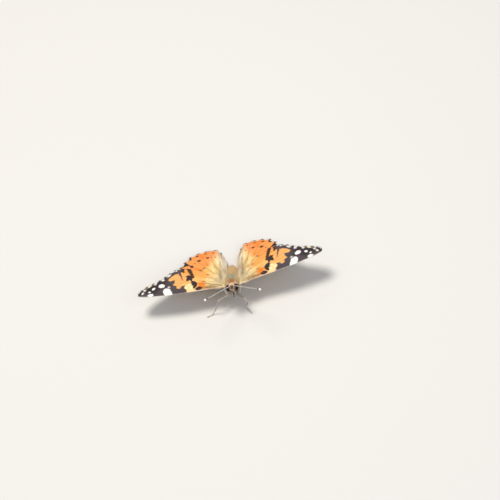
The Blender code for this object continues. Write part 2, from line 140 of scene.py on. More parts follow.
def noise(x: Array, y: Array, seed: int) -> Array:
    """Smooth random values on the plane.

    Args:
        x: first coordinate, one unit to a lump.
        y: second coordinate.
        seed: picks the pattern.

    Returns:
        Values from -1 to 1.
    """
    lattice = np.random.default_rng(seed).uniform(-1, 1, (LATTICE, LATTICE))
    column, row = np.floor(x).astype(int), np.floor(y).astype(int)
    s = smoothstep(0, 1, x - column)
    t = smoothstep(0, 1, y - row)
    here, right = column % LATTICE, (column + 1) % LATTICE
    low, high = row % LATTICE, (row + 1) % LATTICE
    near = lattice[here, low] * (1 - s) + lattice[right, low] * s
    far = lattice[here, high] * (1 - s) + lattice[right, high] * s
    return near * (1 - t) + far * t


def unit(rows: Array) -> Array:
    """Each row scaled to a length of one."""
    return rows / np.maximum(np.linalg.norm(rows, axis=1), TINY)[:, None]


def curve(points: Sequence[Sequence[float]], steps: int = 24) -> Array:
    """Draws a smooth line through points.

    Args:
        points: rows of any width.
        steps: how many rows to make between two points.

    Returns:
        The dense line's rows.
    """
    given = np.array(points, float)
    ends = np.vstack([2 * given[0] - given[1], given, 2 * given[-1] - given[-2]])
    t = (np.arange(steps) / steps)[:, None]
    made = []
    for before, start, end, after in zip(ends, ends[1:], ends[2:], ends[3:]):
        made.append(
            0.5 * (2 * start + (end - before) * t
                   + (2 * before - 5 * start + 4 * end - after) * t ** 2
                   + (3 * start - before - 3 * end + after) * t ** 3)
        )
    return np.vstack([*made, given[-1]])


def along(line: Array, share: Array) -> Array:
    """Finds points of a dense line.

    Args:
        line: the line's rows.
        share: shares of its length.

    Returns:
        The rows there, one to a share.
    """
    steps = np.linalg.norm(np.diff(line[:, :3], axis=0), axis=1)
    lengths = np.concatenate([[0.0], np.cumsum(steps)])
    return np.stack([np.interp(share * lengths[-1], lengths, column) for column in line.T], -1)


def to_line(x: Array, y: Array, line: Array) -> tuple[Array, Array]:
    """Measures points against a line on the plane.

    Args:
        x: points' first coordinates.
        y: points' second coordinates.
        line: the line's points.

    Returns:
        Each point's distance, and the share of the line at its nearest place.
    """
    nearest = np.full(x.shape, np.inf)
    share = np.zeros(x.shape)
    for i, (start, end) in enumerate(zip(line, line[1:])):
        run = end - start
        t = np.clip(((x - start[0]) * run[0] + (y - start[1]) * run[1]) / max(run @ run, TINY), 0, 1)
        distance = np.hypot(x - start[0] - t * run[0], y - start[1] - t * run[1])
        closer = distance < nearest
        nearest = np.where(closer, distance, nearest)
        share = np.where(closer, (i + t) / (len(line) - 1), share)
    return nearest, share


@dataclass(frozen=True)
class Stance:
    """How the wing plane stands over the floor, and where the frame has it."""

    pitch: float = math.radians(12.0)
    base_height: float = 8.6
    eye: Place = (1.28, -5.15, 0.78)

    @property
    def turn(self) -> Array:
        """The turn from the wing plane to the floor."""
        c, s = math.cos(self.pitch), math.sin(self.pitch)
        return np.array([[1, 0, 0], [0, c, s], [0, -s, c]])

    @property
    def base(self) -> Array:
        """The wing plane's middle over the floor."""
        return np.array([0.0, 0.0, self.base_height])

    @property
    def shift(self) -> Array:
        """Reads the body's middle on the floor from the frame's boxes of the eyes.

        Returns:
            Its place in the frame, in millimetres.
        """
        corners = [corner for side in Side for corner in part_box(f"eye_{side.word}")]
        middle = np.mean([np.array(c) for c in corners], 0) / MM
        ahead = self.turn @ np.array([0.0, self.eye[1], self.eye[2]])
        return middle - ahead - self.base

    def from_floor(self, points: Array) -> Array:
        """Places in the floor's directions, turned to the wing plane."""
        return (np.asarray(points, float) - self.base) @ self.turn

    def world(self, points: Array) -> Array:
        """Places in the wing plane in millimetres, as the frame's metres."""
        lifted = np.asarray(points, float) @ self.turn.T + self.base
        return (lifted + self.shift) * MM


@dataclass(frozen=True)
class Spot:
    """A round or oval mark on a wing; its turn is in degrees and its edge is as wide as it is soft."""

    colour: str
    x: float
    y: float
    length: float
    width: float = 0.0
    turn: float = 0.0
    soft: float = 0.16

    def distance(self, x: Array, y: Array) -> Array:
        """Measures points against the mark's edge.

        Args:
            x: outward places.
            y: forward places.

        Returns:
            Millimetres from the edge, negative inside.
        """
        across = self.width or self.length
        c, s = math.cos(math.radians(self.turn)), math.sin(math.radians(self.turn))
        u = ((x - self.x) * c + (y - self.y) * s) / self.length
        v = ((y - self.y) * c - (x - self.x) * s) / across
        return (np.hypot(u, v) - 1) * min(self.length, across)


@dataclass(frozen=True)
class Streak:
    """A mark along a line, with its own half width at each end."""

    colour: str
    points: tuple[Point, ...]
    start: float
    end: float
    soft: float = 0.16

    def distance(self, x: Array, y: Array) -> Array:
        """Millimetres from the mark's edge at outward and forward places, negative inside."""
        away, share = to_line(x, y, curve(self.points, 6))
        return away - (self.start + (self.end - self.start) * share)


@dataclass(frozen=True)
class Patch:
    """A mark with an outline of its own."""

    colour: str
    points: tuple[Point, ...]
    soft: float = 0.18

    def distance(self, x: Array, y: Array) -> Array:
        """Measures points against the mark's edge.

        Args:
            x: outward places.
            y: forward places.

        Returns:
            Millimetres from the edge, negative inside.
        """
        outline = np.array([*self.points, self.points[0]])
        inside = np.zeros(x.shape, bool)
        for start, end in zip(outline, outline[1:]):
            crosses = (start[1] > y) != (end[1] > y)
            slope = (end[0] - start[0]) / (end[1] - start[1] or TINY)
            inside ^= crosses & (x < start[0] + slope * (y - start[1]))
        away, _ = to_line(x, y, outline)
        return np.where(inside, -away, away)


Mark = Spot | Streak | Patch

# Rows of scales leave ragged edges: how far in millimetres, lumps to a millimetre, and the seed.
RAGGED = ((0.13, 2.6, 11), (0.07, 6.5, 12))
# Clouds of deeper and paler scales: lumps to a millimetre, the pattern's start, and the seed.
CLOUDS = ((1.9, 3, 0, 13), (4.6, 0, 7, 14))
CLOUD_DEPTH = 0.6
# What the clouds do to red, green and blue.
MOTTLE = 0.11
MOTTLE_CHANNELS = np.array([0.6, 1.0, 1.5])


def painted(ground: Array, marks: Sequence[Mark], x: Array, y: Array) -> Array:
    """Lays the marks over the ground one by one, with the ragged edge that scale rows give them.

    Args:
        ground: linear colours, one to a point.
        marks: from the lowest to the uppermost.
        x: outward places.
        y: forward places.

    Returns:
        The linear colours with the marks on.
    """
    ragged = sum(depth * noise(fine * x, fine * y, seed) for depth, fine, seed in RAGGED)
    clouds = sum(CLOUD_DEPTH * noise(fine * x + u, fine * y + v, seed) for fine, u, v, seed in CLOUDS)
    ground = ground * (1 + MOTTLE * clouds)[:, None] ** MOTTLE_CHANNELS
    for mark in marks:
        cover = smoothstep(mark.soft, -mark.soft, mark.distance(x, y) + ragged)
        ground = tint(ground, mark.colour, cover)
    return ground


@dataclass(frozen=True)
class WingScales:
    """The colours of a painted lady's wing scales."""

    orange: str = "#F39A52"
    bright_orange: str = "#EF7A2A"
    ember: str = "#E57F2C"
    soft_orange: str = "#F2AE58"
    apricot: str = "#F4BE76"
    gold: str = "#F8D48C"
    straw: str = "#FBE1A6"
    cream: str = "#FFEBC0"
    fawn: str = "#EED09A"
    tan: str = "#BE935C"
    olive: str = "#B59C62"
    lilac: str = "#EFE6DE"
    pearl: str = "#F3E6D4"
    dusk: str = "#9A8F92"
    blush: str = "#EBCDB4"
    black: str = "#352C2D"
    slate: str = "#544A4E"
    brown: str = "#46301F"
    umber: str = "#8A6238"
    white: str = "#FBF8F3"
    rose: str = "#E79A7C"
    blue: str = "#7F93AE"


SCALES = WingScales()

# Streaks of hair: strength, streaks to a radian, the pattern's start, and lumps to a millimetre outward.
STREAKS = ((0.75, 16, 0, 0.18), (0.45, 40, 9, 0.30))


def hair_streaks(x: Array, y: Array, root: Point, seed: int) -> Array:
    """Makes light and dark streaks that fan out over a wing.

    Args:
        x: outward places.
        y: forward places.
        root: the place they fan out from.
        seed: picks the pattern.

    Returns:
        Values from about -1 to 1.
    """
    turn = np.arctan2(y - root[1], x - root[0])
    reach = np.hypot(x - root[0], y - root[1])
    total = np.zeros(x.shape)
    for i, (strength, fine, start, out) in enumerate(STREAKS):
        total = total + strength * noise(turn * fine + start, reach * out, seed + i)
    return total


def forewing_upper(x: Array, y: Array) -> Array:
    """Paints the forewing's upper face: orange with dark marks, and a black tip with white spots.

    Args:
        x: outward places.
        y: forward places.

    Returns:
        Linear colours.
    """
    c = SCALES
    reach = np.hypot(x - 1.5, y - 1.5)
    # Gold near the root, orange beyond, and apricot between the dark marks.
    ground = blend(linear(c.gold), linear(c.soft_orange), smoothstep(7.5, 11.5, reach + 0.5 * noise(x, y, 1)))
    ground = tint(ground, c.apricot, 0.85 * smoothstep(11.5, 14.0, x) * smoothstep(0.8, 2.4, y))
    # Pale clouds near the root and deep ones further out.
    pale = smoothstep(0.25, 0.9, noise(0.45 * x, 0.9 * y, 2)) * smoothstep(15, 8, x)
    ground = tint(ground, c.straw, 0.5 * pale)
    deep = smoothstep(-0.1, 0.9, noise(0.5 * x, 0.5 * y, 8)) * smoothstep(10, 13, x)
    ground = tint(ground, c.orange, 0.25 * deep)
    ground = tint(ground, c.orange, 0.40 * smoothstep(15.0, 18.5, x))
    # Stronger orange along the rear edge.
    ground = tint(ground, c.orange, 0.70 * smoothstep(1.2, -1.4, y) * smoothstep(8.5, 12.5, x))
    # The root's pale wash, partly its pale hair and partly painted light against the shade that the body
    # casts there, then light and dim streaks.
    streaks = hair_streaks(x, y, (0.5, 1.0), 3)
    ground = tint(ground, c.straw, 0.9 * smoothstep(8.5, 3.5, reach))
    ground = tint(ground, c.cream, 0.9 * smoothstep(0.0, 0.5, streaks) * smoothstep(12, 5, reach))
    dim = 0.65 * smoothstep(0.1, 0.6, -streaks) * smoothstep(14, 6, reach) * smoothstep(0.5, 4.5, reach)
    ground = tint(ground, c.tan, dim)
    marks = [
        Patch(c.tan, ((3.6, 3.2), (5.4, 4.5), (8.8, 6.6), (9.4, 5.4), (7.7, 3.5), (5.6, 2.8)), 0.7),
        Streak(c.straw, ((4.6, 1.7), (7.2, 2.3), (9.8, 2.5)), 0.05, 0.30, 0.45),
        Streak(c.cream, ((3.2, 1.0), (6.0, 0.9), (9.6, 0.6)), 0.25, 0.35, 0.5),
        Patch(c.ember, ((8.6, 5.6), (9.8, 6.8), (11.8, 5.8), (12.6, 4.2), (11.6, 3.0), (9.8, 3.6)),
              0.75),
        Patch(c.straw, ((11.3, 8.2), (13.4, 9.8), (14.3, 8.9), (15.7, 8.3), (16.2, 7.2), (15.4, 5.5),
                        (14.3, 5.2), (13.3, 6.6), (12.4, 7.3)), 0.22),
        Patch(c.slate, ((13.2, 10.4), (13.9, 9.5), (14.5, 8.8), (15.6, 8.4), (16.5, 6.9), (17.1, 7.7),
                        (17.2, 9.2), (18.1, 9.5), (19.1, 8.3), (20.7, 8.3), (20.9, 6.6), (21.8, 5.6),
                        (23.0, 6.8), (24.0, 6.5), (24.2, 4.8), (23.7, 2.9), (22.6, 1.5), (21.9, 0.2),
                        (22.3, -2.6), (26, -3), (32, 2), (33, 20), (24, 20))),
        Patch(c.black, ((21.5, 8.6), (23.0, 9.0), (24.5, 7.0), (25.0, 3.5), (24.3, 0.5), (26, -3),
                        (32, 2), (33, 20), (29, 20), (27.5, 16), (24, 14.6), (23.4, 11.5)), 1.3),
        Streak(c.blush, ((2.5, 3.0), (6.5, 5.3), (10.0, 7.8), (13.6, 10.4)), 0.40, 0.30, 0.20),
        Streak(c.dusk, ((13.2, 10.3), (17.5, 13.1), (23.8, 16.6), (28.0, 18.3)), 0.34, 0.22, 0.25),
        Spot(c.black, 10.6, 6.65, 1.25, 1.10, 35),
        Spot(c.black, 13.6, 5.35, 0.90, 0.80),
        Streak(c.black, ((12.5, 6.9), (12.9, 5.6), (13.8, 4.6)), 0.50, 0.80),
        Spot(c.black, 14.2, 4.5, 1.30, 0.85, -14),
        Streak(c.black, ((14.8, 4.2), (16.4, 3.5)), 0.28, 0.18),
        Patch(c.black, ((15.7, 3.4), (16.4, 3.6), (17.2, 4.9), (18.0, 3.9), (18.4, 2.9), (19.3, 2.3),
                        (18.8, 1.3), (17.3, 1.3), (16.2, 2.3))),
        Streak(c.brown, ((16.3, 1.9), (18.6, 0.0), (21.6, -2.6)), 0.45, 0.85, 0.25),
        Streak(c.slate, ((19.0, 4.5), (21.2, 2.6), (23.6, 0.6)), 0.10, 0.55),
        Streak(c.brown, ((21.4, 0.6), (22.6, -0.6)), 0.35, 0.6),
        Spot(c.umber, 12.2, -1.4, 0.55, 0.35, 20, 0.35),
        Spot(c.umber, 11.3, 2.5, 0.45, 0.3, 0, 0.35),
        Patch(c.white, ((17.4, 13.3), (19.2, 14.6), (21.4, 13.4), (22.2, 12.0), (21.9, 10.7),
                        (20.5, 10.5), (19.4, 11.5), (18.2, 12.2)), 0.14),
        Spot(c.lilac, 21.3, 9.8, 0.5, 0.3, -30, 0.3),
        Spot(c.white, 24.75, 16.2, 1.0, 0.85, 30, 0.14),
        Spot(c.white, 26.15, 14.85, 0.50, 0.46, 0, 0.14),
        Spot(c.white, 25.95, 12.7, 0.52, 0.68, 0, 0.14),
        Spot(c.white, 24.15, 10.2, 1.15, 1.05, 0, 0.14),
        Spot(c.lilac, 28.1, 16.2, 0.40, 0.65, 15, 0.22),
        Spot(c.lilac, 28.45, 14.6, 0.35, 0.5, 0, 0.22),
        Spot(c.cream, 28.2, 12.2, 0.30, 0.85, -15, 0.25),
        Spot(c.lilac, 27.1, 10.0, 0.60, 0.60, 10, 0.25),
        Spot(c.lilac, 25.7, 7.2, 0.50, 0.65, 0, 0.22),
        Spot(c.lilac, 25.2, 4.1, 0.32, 0.95, 5, 0.22),
        Spot(c.lilac, 24.6, 0.6, 0.5, 0.4, 0, 0.25),
    ]
    return painted(ground, marks, x, y)


def hindwing_upper(x: Array, y: Array) -> Array:
    """Paints the hindwing's upper face: gold to orange, with dark round spots and a scalloped border.

    Args:
        x: outward places.
        y: forward places.

    Returns:
        Linear colours.
    """
    c = SCALES
    inner = x + 0.28 * y + 0.7 * noise(0.5 * x, 0.5 * y, 4)
    border = 8.8 + 5.2 * smoothstep(-17.0, -4.0, y)
    streaks = hair_streaks(x, y, (1.0, 1.0), 6)
    far = smoothstep(-2.2, 2.6, x - border + 1.1 * streaks)
    near = 1 - 0.85 * far
    # Gold inside and orange outside, the orange with brighter clouds.
    ground = blend(linear(c.gold), linear(c.soft_orange), smoothstep(6.5, 9.5, inner + 0.9 * streaks))
    ground = tint(ground, c.orange, far)
    bright = smoothstep(-0.3, 0.8, noise(0.35 * x, 0.35 * y, 5)) * far
    ground = tint(ground, c.bright_orange, 0.5 * bright)
    # Straw and cream streaks of hair, and the pearly fold beside the body, partly its pale hair and partly
    # painted light where the fold dips into the body's shade.
    straw = smoothstep(8.0, 5.0, inner) * smoothstep(-0.4, 0.4, streaks) * near
    ground = tint(ground, c.straw, 0.6 * straw)
    ground = tint(ground, c.pearl, 0.9 * smoothstep(4.2, 2.4, inner + 0.9 * streaks))
    light = smoothstep(0.0, 0.5, streaks) * smoothstep(8.6, 4.6, inner) * near
    ground = tint(ground, c.cream, 0.9 * light)
    # Dim streaks, and dim clouds on the fold.
    dim = smoothstep(0.1, 0.6, -streaks) * smoothstep(12, 4, inner) * near
    ground = tint(ground, c.tan, 0.65 * dim)
    cloud = smoothstep(0.2, 0.8, noise(0.7 * x, 0.5 * y, 9)) * smoothstep(5.0, 3.5, inner)
    ground = tint(ground, c.tan, 0.5 * cloud * smoothstep(-11.5, -8.5, y))
    # A pale root, partly its pale hair and partly painted light against the body's shade, and a warmer front.
    ground = tint(ground, c.cream, 0.85 * smoothstep(8.0, 2.5, np.hypot(x - 1.5, y + 0.5)))
    glow = smoothstep(8.0, 9.6, inner + 0.9 * streaks) * smoothstep(-7.0, -4.0, y) * near
    ground = tint(ground, c.soft_orange, 0.6 * glow)
    marks = [
        Streak(c.tan, ((3.0, -1.2), (4.7, -4.6), (6.0, -9.0), (7.2, -14.0)), 0.16, 0.04, 0.4),
        Spot(c.umber, 13.2, -8.3, 0.75, 0.5, 30, 0.5),
        Spot(c.umber, 12.3, -9.8, 0.5, 0.4, 0, 0.5),
        Patch(c.brown, ((14.4, -1.5), (19.0, -2.6), (20.6, -5.4), (18.4, -6.6), (16.2, -4.6)), 0.9),
        Spot(c.black, 18.4, -7.9, 0.75, 0.6, -30),
        Spot(c.black, 17.0, -10.9, 0.85, 0.6, -45),
        Spot(c.black, 16.4, -12.9, 0.35, 0.28, 0),
        Spot(c.black, 15.1, -14.6, 0.70, 0.62, 20),
        Spot(c.black, 12.3, -16.3, 0.58, 0.52, 0),
        Spot(c.umber, 9.6, -16.6, 0.35, 0.3, 0, 0.3),
        Patch(c.black, ((19.4, -6.9), (20.9, -7.4), (21.8, -6.4), (23, -8), (22.6, -11), (20.4, -9.7))),
        Patch(c.black, ((17.8, -11.6), (19.1, -11.3), (20.9, -10.2), (23, -11), (21.6, -14.4),
                        (19.6, -13.4))),
        Patch(c.black, ((17.9, -15.3), (18.9, -15.0), (20.4, -13.8), (21.4, -15), (20.0, -18.4),
                        (18.7, -17.1))),
        Spot(c.brown, 16.5, -17.6, 0.75, 0.42, 35, 0.25),
        Spot(c.brown, 13.7, -19.0, 0.60, 0.34, 15, 0.25),
        Spot(c.brown, 10.8, -19.5, 0.45, 0.28, 0, 0.25),
        Streak(c.brown, ((19.6, -18.1), (16.4, -20.2), (13.1, -21.7), (10.0, -22.0), (7.8, -20.9)), 0.55,
               0.42, 0.25),
    ]
    return painted(ground, marks, x, y)


def forewing_under(x: Array, y: Array) -> Array:
    """Paints the forewing's under face, which is rosier and has a pale olive tip.

    Args:
        x: outward places.
        y: forward places.

    Returns:
        Linear colours.
    """
    c = SCALES
    ground = blend(linear(c.rose), linear(c.soft_orange), smoothstep(-0.4, 0.8, noise(0.3 * x, 0.3 * y, 21)))
    ground = tint(ground, c.cream, 0.6 * smoothstep(2.5, 0.0, y + 1.6))
    marks = [
        Patch(c.cream, ((11.3, 8.2), (13.4, 9.8), (14.3, 8.9), (15.7, 8.3), (16.2, 7.2), (15.4, 5.5),
                        (13.3, 6.6)), 0.25),
        Patch(c.slate, ((13.2, 10.4), (15.6, 8.4), (16.5, 6.9), (17.2, 9.2), (20.7, 8.3), (21.8, 5.6),
                        (23.2, 6.2), (22.8, 1.5), (21.9, 0.2), (26, -3), (27.2, 4.0), (24.8, 9.0),
                        (23.0, 14.8), (20, 16))),
        Patch(c.olive, ((22.4, 16), (23.6, 12.6), (24.6, 9.4), (26.0, 6.6), (25.0, 1.0), (27, -2),
                        (33, 2), (33, 20)), 0.4),
        Streak(c.cream, ((2.5, 3.2), (6.5, 5.4), (10.0, 7.9), (17.5, 13.0), (23.8, 16.5)), 0.4, 0.3,
               0.2),
        Spot(c.black, 11.3, 6.15, 0.85, 0.7, 35),
        Streak(c.black, ((12.9, 6.8), (13.0, 5.4), (13.9, 4.5)), 0.3, 0.5),
        Spot(c.black, 14.1, 4.3, 1.1, 0.6, -14),
        Patch(c.black, ((16.1, 2.7), (17.7, 4.5), (19.3, 2.2), (18.9, 1.2), (17.4, 1.4))),
        Patch(c.black, ((16.6, 1.4), (17.9, 0.6), (19.9, -0.9), (18.9, -1.6), (17.7, -0.6)), 0.3),
        Patch(c.white, ((17.8, 12.9), (19.9, 14.3), (21.2, 13.4), (22.3, 12.1), (22.2, 10.9),
                        (20.7, 10.4), (20.0, 11.6), (18.6, 12.1)), 0.12),
        Spot(c.white, 25.0, 16.15, 0.95, 0.8, 30, 0.12),
        Spot(c.white, 26.6, 14.6, 0.55, 0.5, 0, 0.12),
        Spot(c.white, 26.35, 12.4, 0.55, 0.75, 0, 0.12),
        Spot(c.white, 24.5, 10.0, 1.0, 0.9, 0, 0.12),
        Streak(c.brown, ((28.2, 15.8), (27.4, 12.0), (26.2, 9.2), (25.2, 5.6), (24.9, 1.0)), 0.18, 0.16),
        Streak(c.cream, ((29.0, 15.6), (28.4, 12.2), (27.0, 9.0), (26.0, 5.6), (25.5, 1.0)), 0.28, 0.24),
    ]
    return painted(ground, marks, x, y)


@dataclass(frozen=True)
class Ocellus:
    """One of the eyespots in a row along the hindwing's under face."""

    x: float
    y: float
    radius: float

    def marks(self) -> list[Mark]:
        """Lays out a dark edge, a yellow ring, a black ring and a blue middle.

        Returns:
            The spots, from the outside in.
        """
        c = SCALES
        rings = ((c.brown, 1.22, 0.14), (c.straw, 1.05, 0.10), (c.black, 0.72, 0.10), (c.blue, 0.38, 0.10))
        return [Spot(colour, self.x, self.y, wide * self.radius, soft=soft) for colour, wide, soft in rings]


OCELLI = (
    Ocellus(18.6, -6.6, 0.85),
    Ocellus(18.2, -9.4, 0.62),
    Ocellus(16.8, -12.0, 0.62),
    Ocellus(15.0, -14.3, 0.90),
    Ocellus(12.2, -16.2, 0.98),
)


def hindwing_under(x: Array, y: Array) -> Array:
    """Paints the hindwing's under face: marbled, with a row of eyespots.

    Args:
        x: outward places.
        y: forward places.

    Returns:
        Linear colours.
    """
    c = SCALES
    marble = noise(0.75 * x + 0.3 * y, 0.75 * y - 0.3 * x, 22) + 0.5 * noise(1.7 * x, 1.7 * y, 23)
    ground = blend(linear(c.olive), linear(c.umber), smoothstep(0.0, 0.9, marble))
    ground = tint(ground, c.cream, smoothstep(0.15, 0.45, -marble))
    ground = tint(ground, c.fawn, 0.8 * smoothstep(4.0, 1.5, x + 0.28 * y))
    marks: list[Mark] = [
        Patch(c.white, ((12.0, -0.4), (14.2, -0.8), (14.6, -3.4), (13.2, -5.0), (12.2, -2.6)), 0.3),
        Patch(c.white, ((9.6, -6.8), (11.4, -7.6), (12.4, -10.6), (11.0, -12.4), (9.8, -9.6)), 0.3),
        Patch(c.white, ((6.2, -4.4), (7.6, -5.0), (8.2, -8.4), (7.0, -8.8)), 0.3),
        Patch(c.umber, ((8.0, -0.4), (10.8, -0.6), (10.4, -3.6), (8.2, -3.2)), 0.4),
        Patch(c.umber, ((13.6, -6.6), (16.2, -5.2), (16.6, -8.6), (14.2, -10.2)), 0.4),
        Patch(c.umber, ((8.6, -11.4), (10.2, -13.4), (9.6, -16.0), (8.0, -14.0)), 0.4),
        Streak(c.cream, ((19.0, -2.8), (19.4, -7.2), (17.8, -11.4), (15.4, -14.6), (11.8, -17.2),
                         (8.4, -17.6)), 1.25, 1.15, 0.35),
        Streak(c.lilac, ((20.8, -4.8), (20.9, -9.4), (19.5, -13.4), (17.3, -16.9), (13.2, -19.2),
                         (9.2, -19.6)), 0.30, 0.30),
        Streak(c.fawn, ((21.4, -5.4), (21.5, -9.8), (20.2, -14.0), (18.2, -17.6), (13.4, -20.2),
                        (9.4, -20.6)), 0.30, 0.30),
    ]
    for ocellus in OCELLI:
        marks += ocellus.marks()
    return painted(ground, marks, x, y)


@dataclass(frozen=True)
class WingPlan:
    """A spread wing's outline, veins and colours, in millimetres."""

    costa: tuple[Point, ...]
    margin: tuple[Point, ...]
    inner: tuple[Point, ...]
    veins: tuple[tuple[Point, ...], ...]
    hinge: Point
    scallop: float
    sweep: dict[Side, float]
    colours: dict[Face, Surface]
    level: float
    lift: float
    cells: tuple[int, int]
    hairs: int
    fringe: float = 0.30
    margin_steps: int = 12

    def margin_line(self, inset: float) -> Array:
        """Draws the outer margin, full at each vein's end and hollowed between two.

        Args:
            inset: how far it is drawn in.

        Returns:
            Its points, from the wing's tip to its rear corner.
        """
        ends = np.array(self.margin)
        made = []
        for start, end in zip(ends, ends[1:]):
            run = end - start
            inward = np.array([run[1], -run[0]]) / np.linalg.norm(run)
            t = np.linspace(0, 1, self.margin_steps, endpoint=False)[:, None]
            made.append(start + run * t + inward * (self.scallop * 4 * t * (1 - t) + inset))
        return np.vstack([*made, ends[-1] + inward * inset])

    def spread(self, out: Array, down: Array) -> Array:
        """Places points on the plan.

        Args:
            out: shares of the wing's length.
            down: shares of the way from costa to inner edge.

        Returns:
            Rows of (outward, forward).
        """
        margin = self.margin_line(self.fringe)
        costa = curve([*self.costa[:-1], tuple(margin[0])])
        inner = curve([*self.inner[:-1], tuple(margin[-1])])
        u, v = out[:, None], down[:, None]
        top, low, far = along(costa, out), along(inner, out), along(margin, down)
        near = costa[0] * (1 - v) + inner[0] * v
        corners = (1 - u) * near + u * ((1 - v) * margin[0] + v * margin[-1])
        return (1 - v) * top + v * low + (1 - u) * near + u * far - corners

    def vein_distance(self, x: Array, y: Array) -> Array:
        """Millimetres from the nearest vein at outward and forward places."""
        return np.min([to_line(x, y, curve(vein, 6))[0] for vein in self.veins], axis=0)


FOREWING = WingPlan(
    costa=((2.2, 2.9), (6.5, 5.4), (10.0, 7.9), (13.8, 10.6), (17.5, 13.0), (23.8, 16.5), (26.3, 17.7),
           (28.6, 18.2), (29.7, 17.5)),
    margin=((29.7, 17.3), (30.1, 15.9), (29.6, 13.2), (28.5, 10.5), (27.2, 8.0), (26.4, 5.3), (26.0,
            2.6), (25.2, 0.0), (23.8, -1.6)),
    inner=((1.4, 0.8), (3.5, 0.3), (8.0, -0.9), (14.0, -2.0), (20.0, -2.2), (23.8, -1.6)),
    veins=(
        ((1.8, 2.3), (8.6, 6.6), (16.0, 11.9)),
        ((1.8, 1.9), (10.5, 6.9), (18.5, 13.5)),
        ((10.5, 6.9), (13.8, 8.6), (21.2, 15.0)),
        ((13.8, 8.6), (19.5, 12.2), (25.2, 17.1)),
        ((19.5, 12.2), (24.0, 14.8), (28.4, 18.1)),
        ((24.0, 14.8), (30.0, 16.1)),
        ((13.8, 8.6), (20.0, 10.7), (29.6, 13.3)),
        ((13.8, 8.6), (14.5, 6.8), (13.6, 4.5)),
        ((14.5, 6.8), (20.5, 8.9), (28.5, 10.6)),
        ((13.6, 4.5), (20.0, 6.6), (27.2, 8.0)),
        ((1.8, 1.4), (8.0, 2.9), (13.6, 4.5)),
        ((12.0, 4.1), (18.5, 4.9), (26.4, 5.3)),
        ((8.0, 2.9), (16.5, 2.7), (26.0, 2.6)),
        ((1.7, 1.0), (10.0, 0.5), (25.1, 0.0)),
    ),
    hinge=(2.5, 2.1),
    scallop=0.25,
    sweep={Side.LEFT: math.radians(39.0), Side.RIGHT: math.radians(36.0)},
    colours={Face.UPPER: forewing_upper, Face.UNDER: forewing_under},
    level=0.0,
    lift=-0.16,
    cells=(112, 200),
    hairs=5600,
)

HINDWING = WingPlan(
    costa=((1.2, 0.2), (5.0, 1.0), (10.0, 1.3), (15.0, 0.4), (19.3, -1.9), (21.0, -4.0)),
    margin=((21.0, -4.0), (21.7, -6.6), (21.5, -10.1), (20.6, -13.6), (19.3, -17.5), (16.4, -20.0),
            (13.1, -21.5), (10.0, -21.8), (7.9, -20.5)),
    inner=((1.8, -2.6), (2.9, -6.0), (4.3, -11.6), (5.9, -16.7), (7.9, -20.5)),
    veins=(
        ((1.6, -0.3), (7.0, 0.2), (14.0, -0.7), (20.6, -3.4)),
        ((1.6, -0.8), (7.6, -2.2), (14.0, -4.0), (21.6, -6.6)),
        ((7.6, -2.2), (13.5, -6.2), (21.4, -10.1)),
        ((8.6, -2.8), (9.4, -4.6), (14.0, -9.0), (20.5, -13.6)),
        ((8.2, -6.3), (13.5, -11.9), (19.2, -17.4)),
        ((1.7, -1.5), (5.6, -5.0), (8.2, -6.3)),
        ((8.2, -6.3), (12.2, -13.0), (16.3, -19.8)),
        ((5.6, -5.0), (9.2, -12.6), (13.0, -21.3)),
        ((1.7, -2.1), (6.2, -11.0), (9.8, -21.6)),
    ),
    hinge=(1.8, 0.0),
    scallop=0.45,
    sweep={Side.LEFT: math.radians(12.5), Side.RIGHT: math.radians(13.5)},
    colours={Face.UPPER: hindwing_upper, Face.UNDER: hindwing_under},
    level=-1.04,
    lift=0.14,
    cells=(140, 150),
    hairs=8000,
)


def read_places(mesh: bpy.types.Mesh) -> Array:
    """Reads a mesh's vertex places.

    Args:
        mesh: is read.

    Returns:
        One row to a vertex.
    """
    flat = np.empty(3 * len(mesh.vertices), np.float32)
    mesh.vertices.foreach_get("co", flat)
    return flat.reshape(-1, 3).astype(float)


def write_places(mesh: bpy.types.Mesh, places: Array) -> None:
    """Sets the mesh's vertex places from rows."""
    mesh.vertices.foreach_set("co", places.astype(np.float32).ravel())
    mesh.update()


def write_pigment(mesh: bpy.types.Mesh, colours: Array) -> None:
    """Stores linear colours on a mesh.

    Args:
        mesh: takes the colours.
        colours: one row to a vertex.
    """
    layer = mesh.color_attributes.new(PIGMENT, "FLOAT_COLOR", "POINT")
    full = np.ones((len(mesh.vertices), 4), np.float32)
    full[:, :3] = colours
    layer.data.foreach_set("color", full.ravel())


def rolled_grid(
    name: str, around: int, length: int, shape: Surface, pigment: Surface, stance: Stance
) -> bpy.types.Object:
    """Rolls a flat grid up into a closed body.

    Args:
        name: the piece's name.
        around: cells round the body.
        length: cells along it.
        shape: gives places in the wing plane for shares round and along.
        pigment: gives linear colours for the same shares.
        stance: turns places to the frame's.

    Returns:
        The piece, with its seam and ends closed.
    """
    bpy.ops.object.select_all(action="DESELECT")
    bpy.ops.mesh.primitive_grid_add(
        x_subdivisions=around, y_subdivisions=length, size=1.0, location=(0, 0, 0)
    )
    obj = bpy.context.object
    obj.name = name
    obj.data.name = name
    obj.data.uv_layers[0].name = BAKE_MAP
    flat = read_places(obj.data)
    round_share, long_share = flat[:, 0] + 0.5, flat[:, 1] + 0.5
    places = stance.world(shape(round_share, long_share))
    places[:, 2] = np.maximum(places[:, 2], FLOOR_CLEAR)
    write_places(obj.data, places)
    write_pigment(obj.data, pigment(round_share, long_share))
    bpy.ops.object.mode_set(mode="EDIT")
    bpy.ops.mesh.select_all(action="SELECT")
    bpy.ops.mesh.remove_doubles(threshold=SEAM)
    bpy.ops.mesh.normals_make_consistent(inside=False)
    bpy.ops.object.mode_set(mode="OBJECT")
    bpy.ops.object.shade_smooth()
    bpy.ops.object.select_all(action="DESELECT")
    return obj


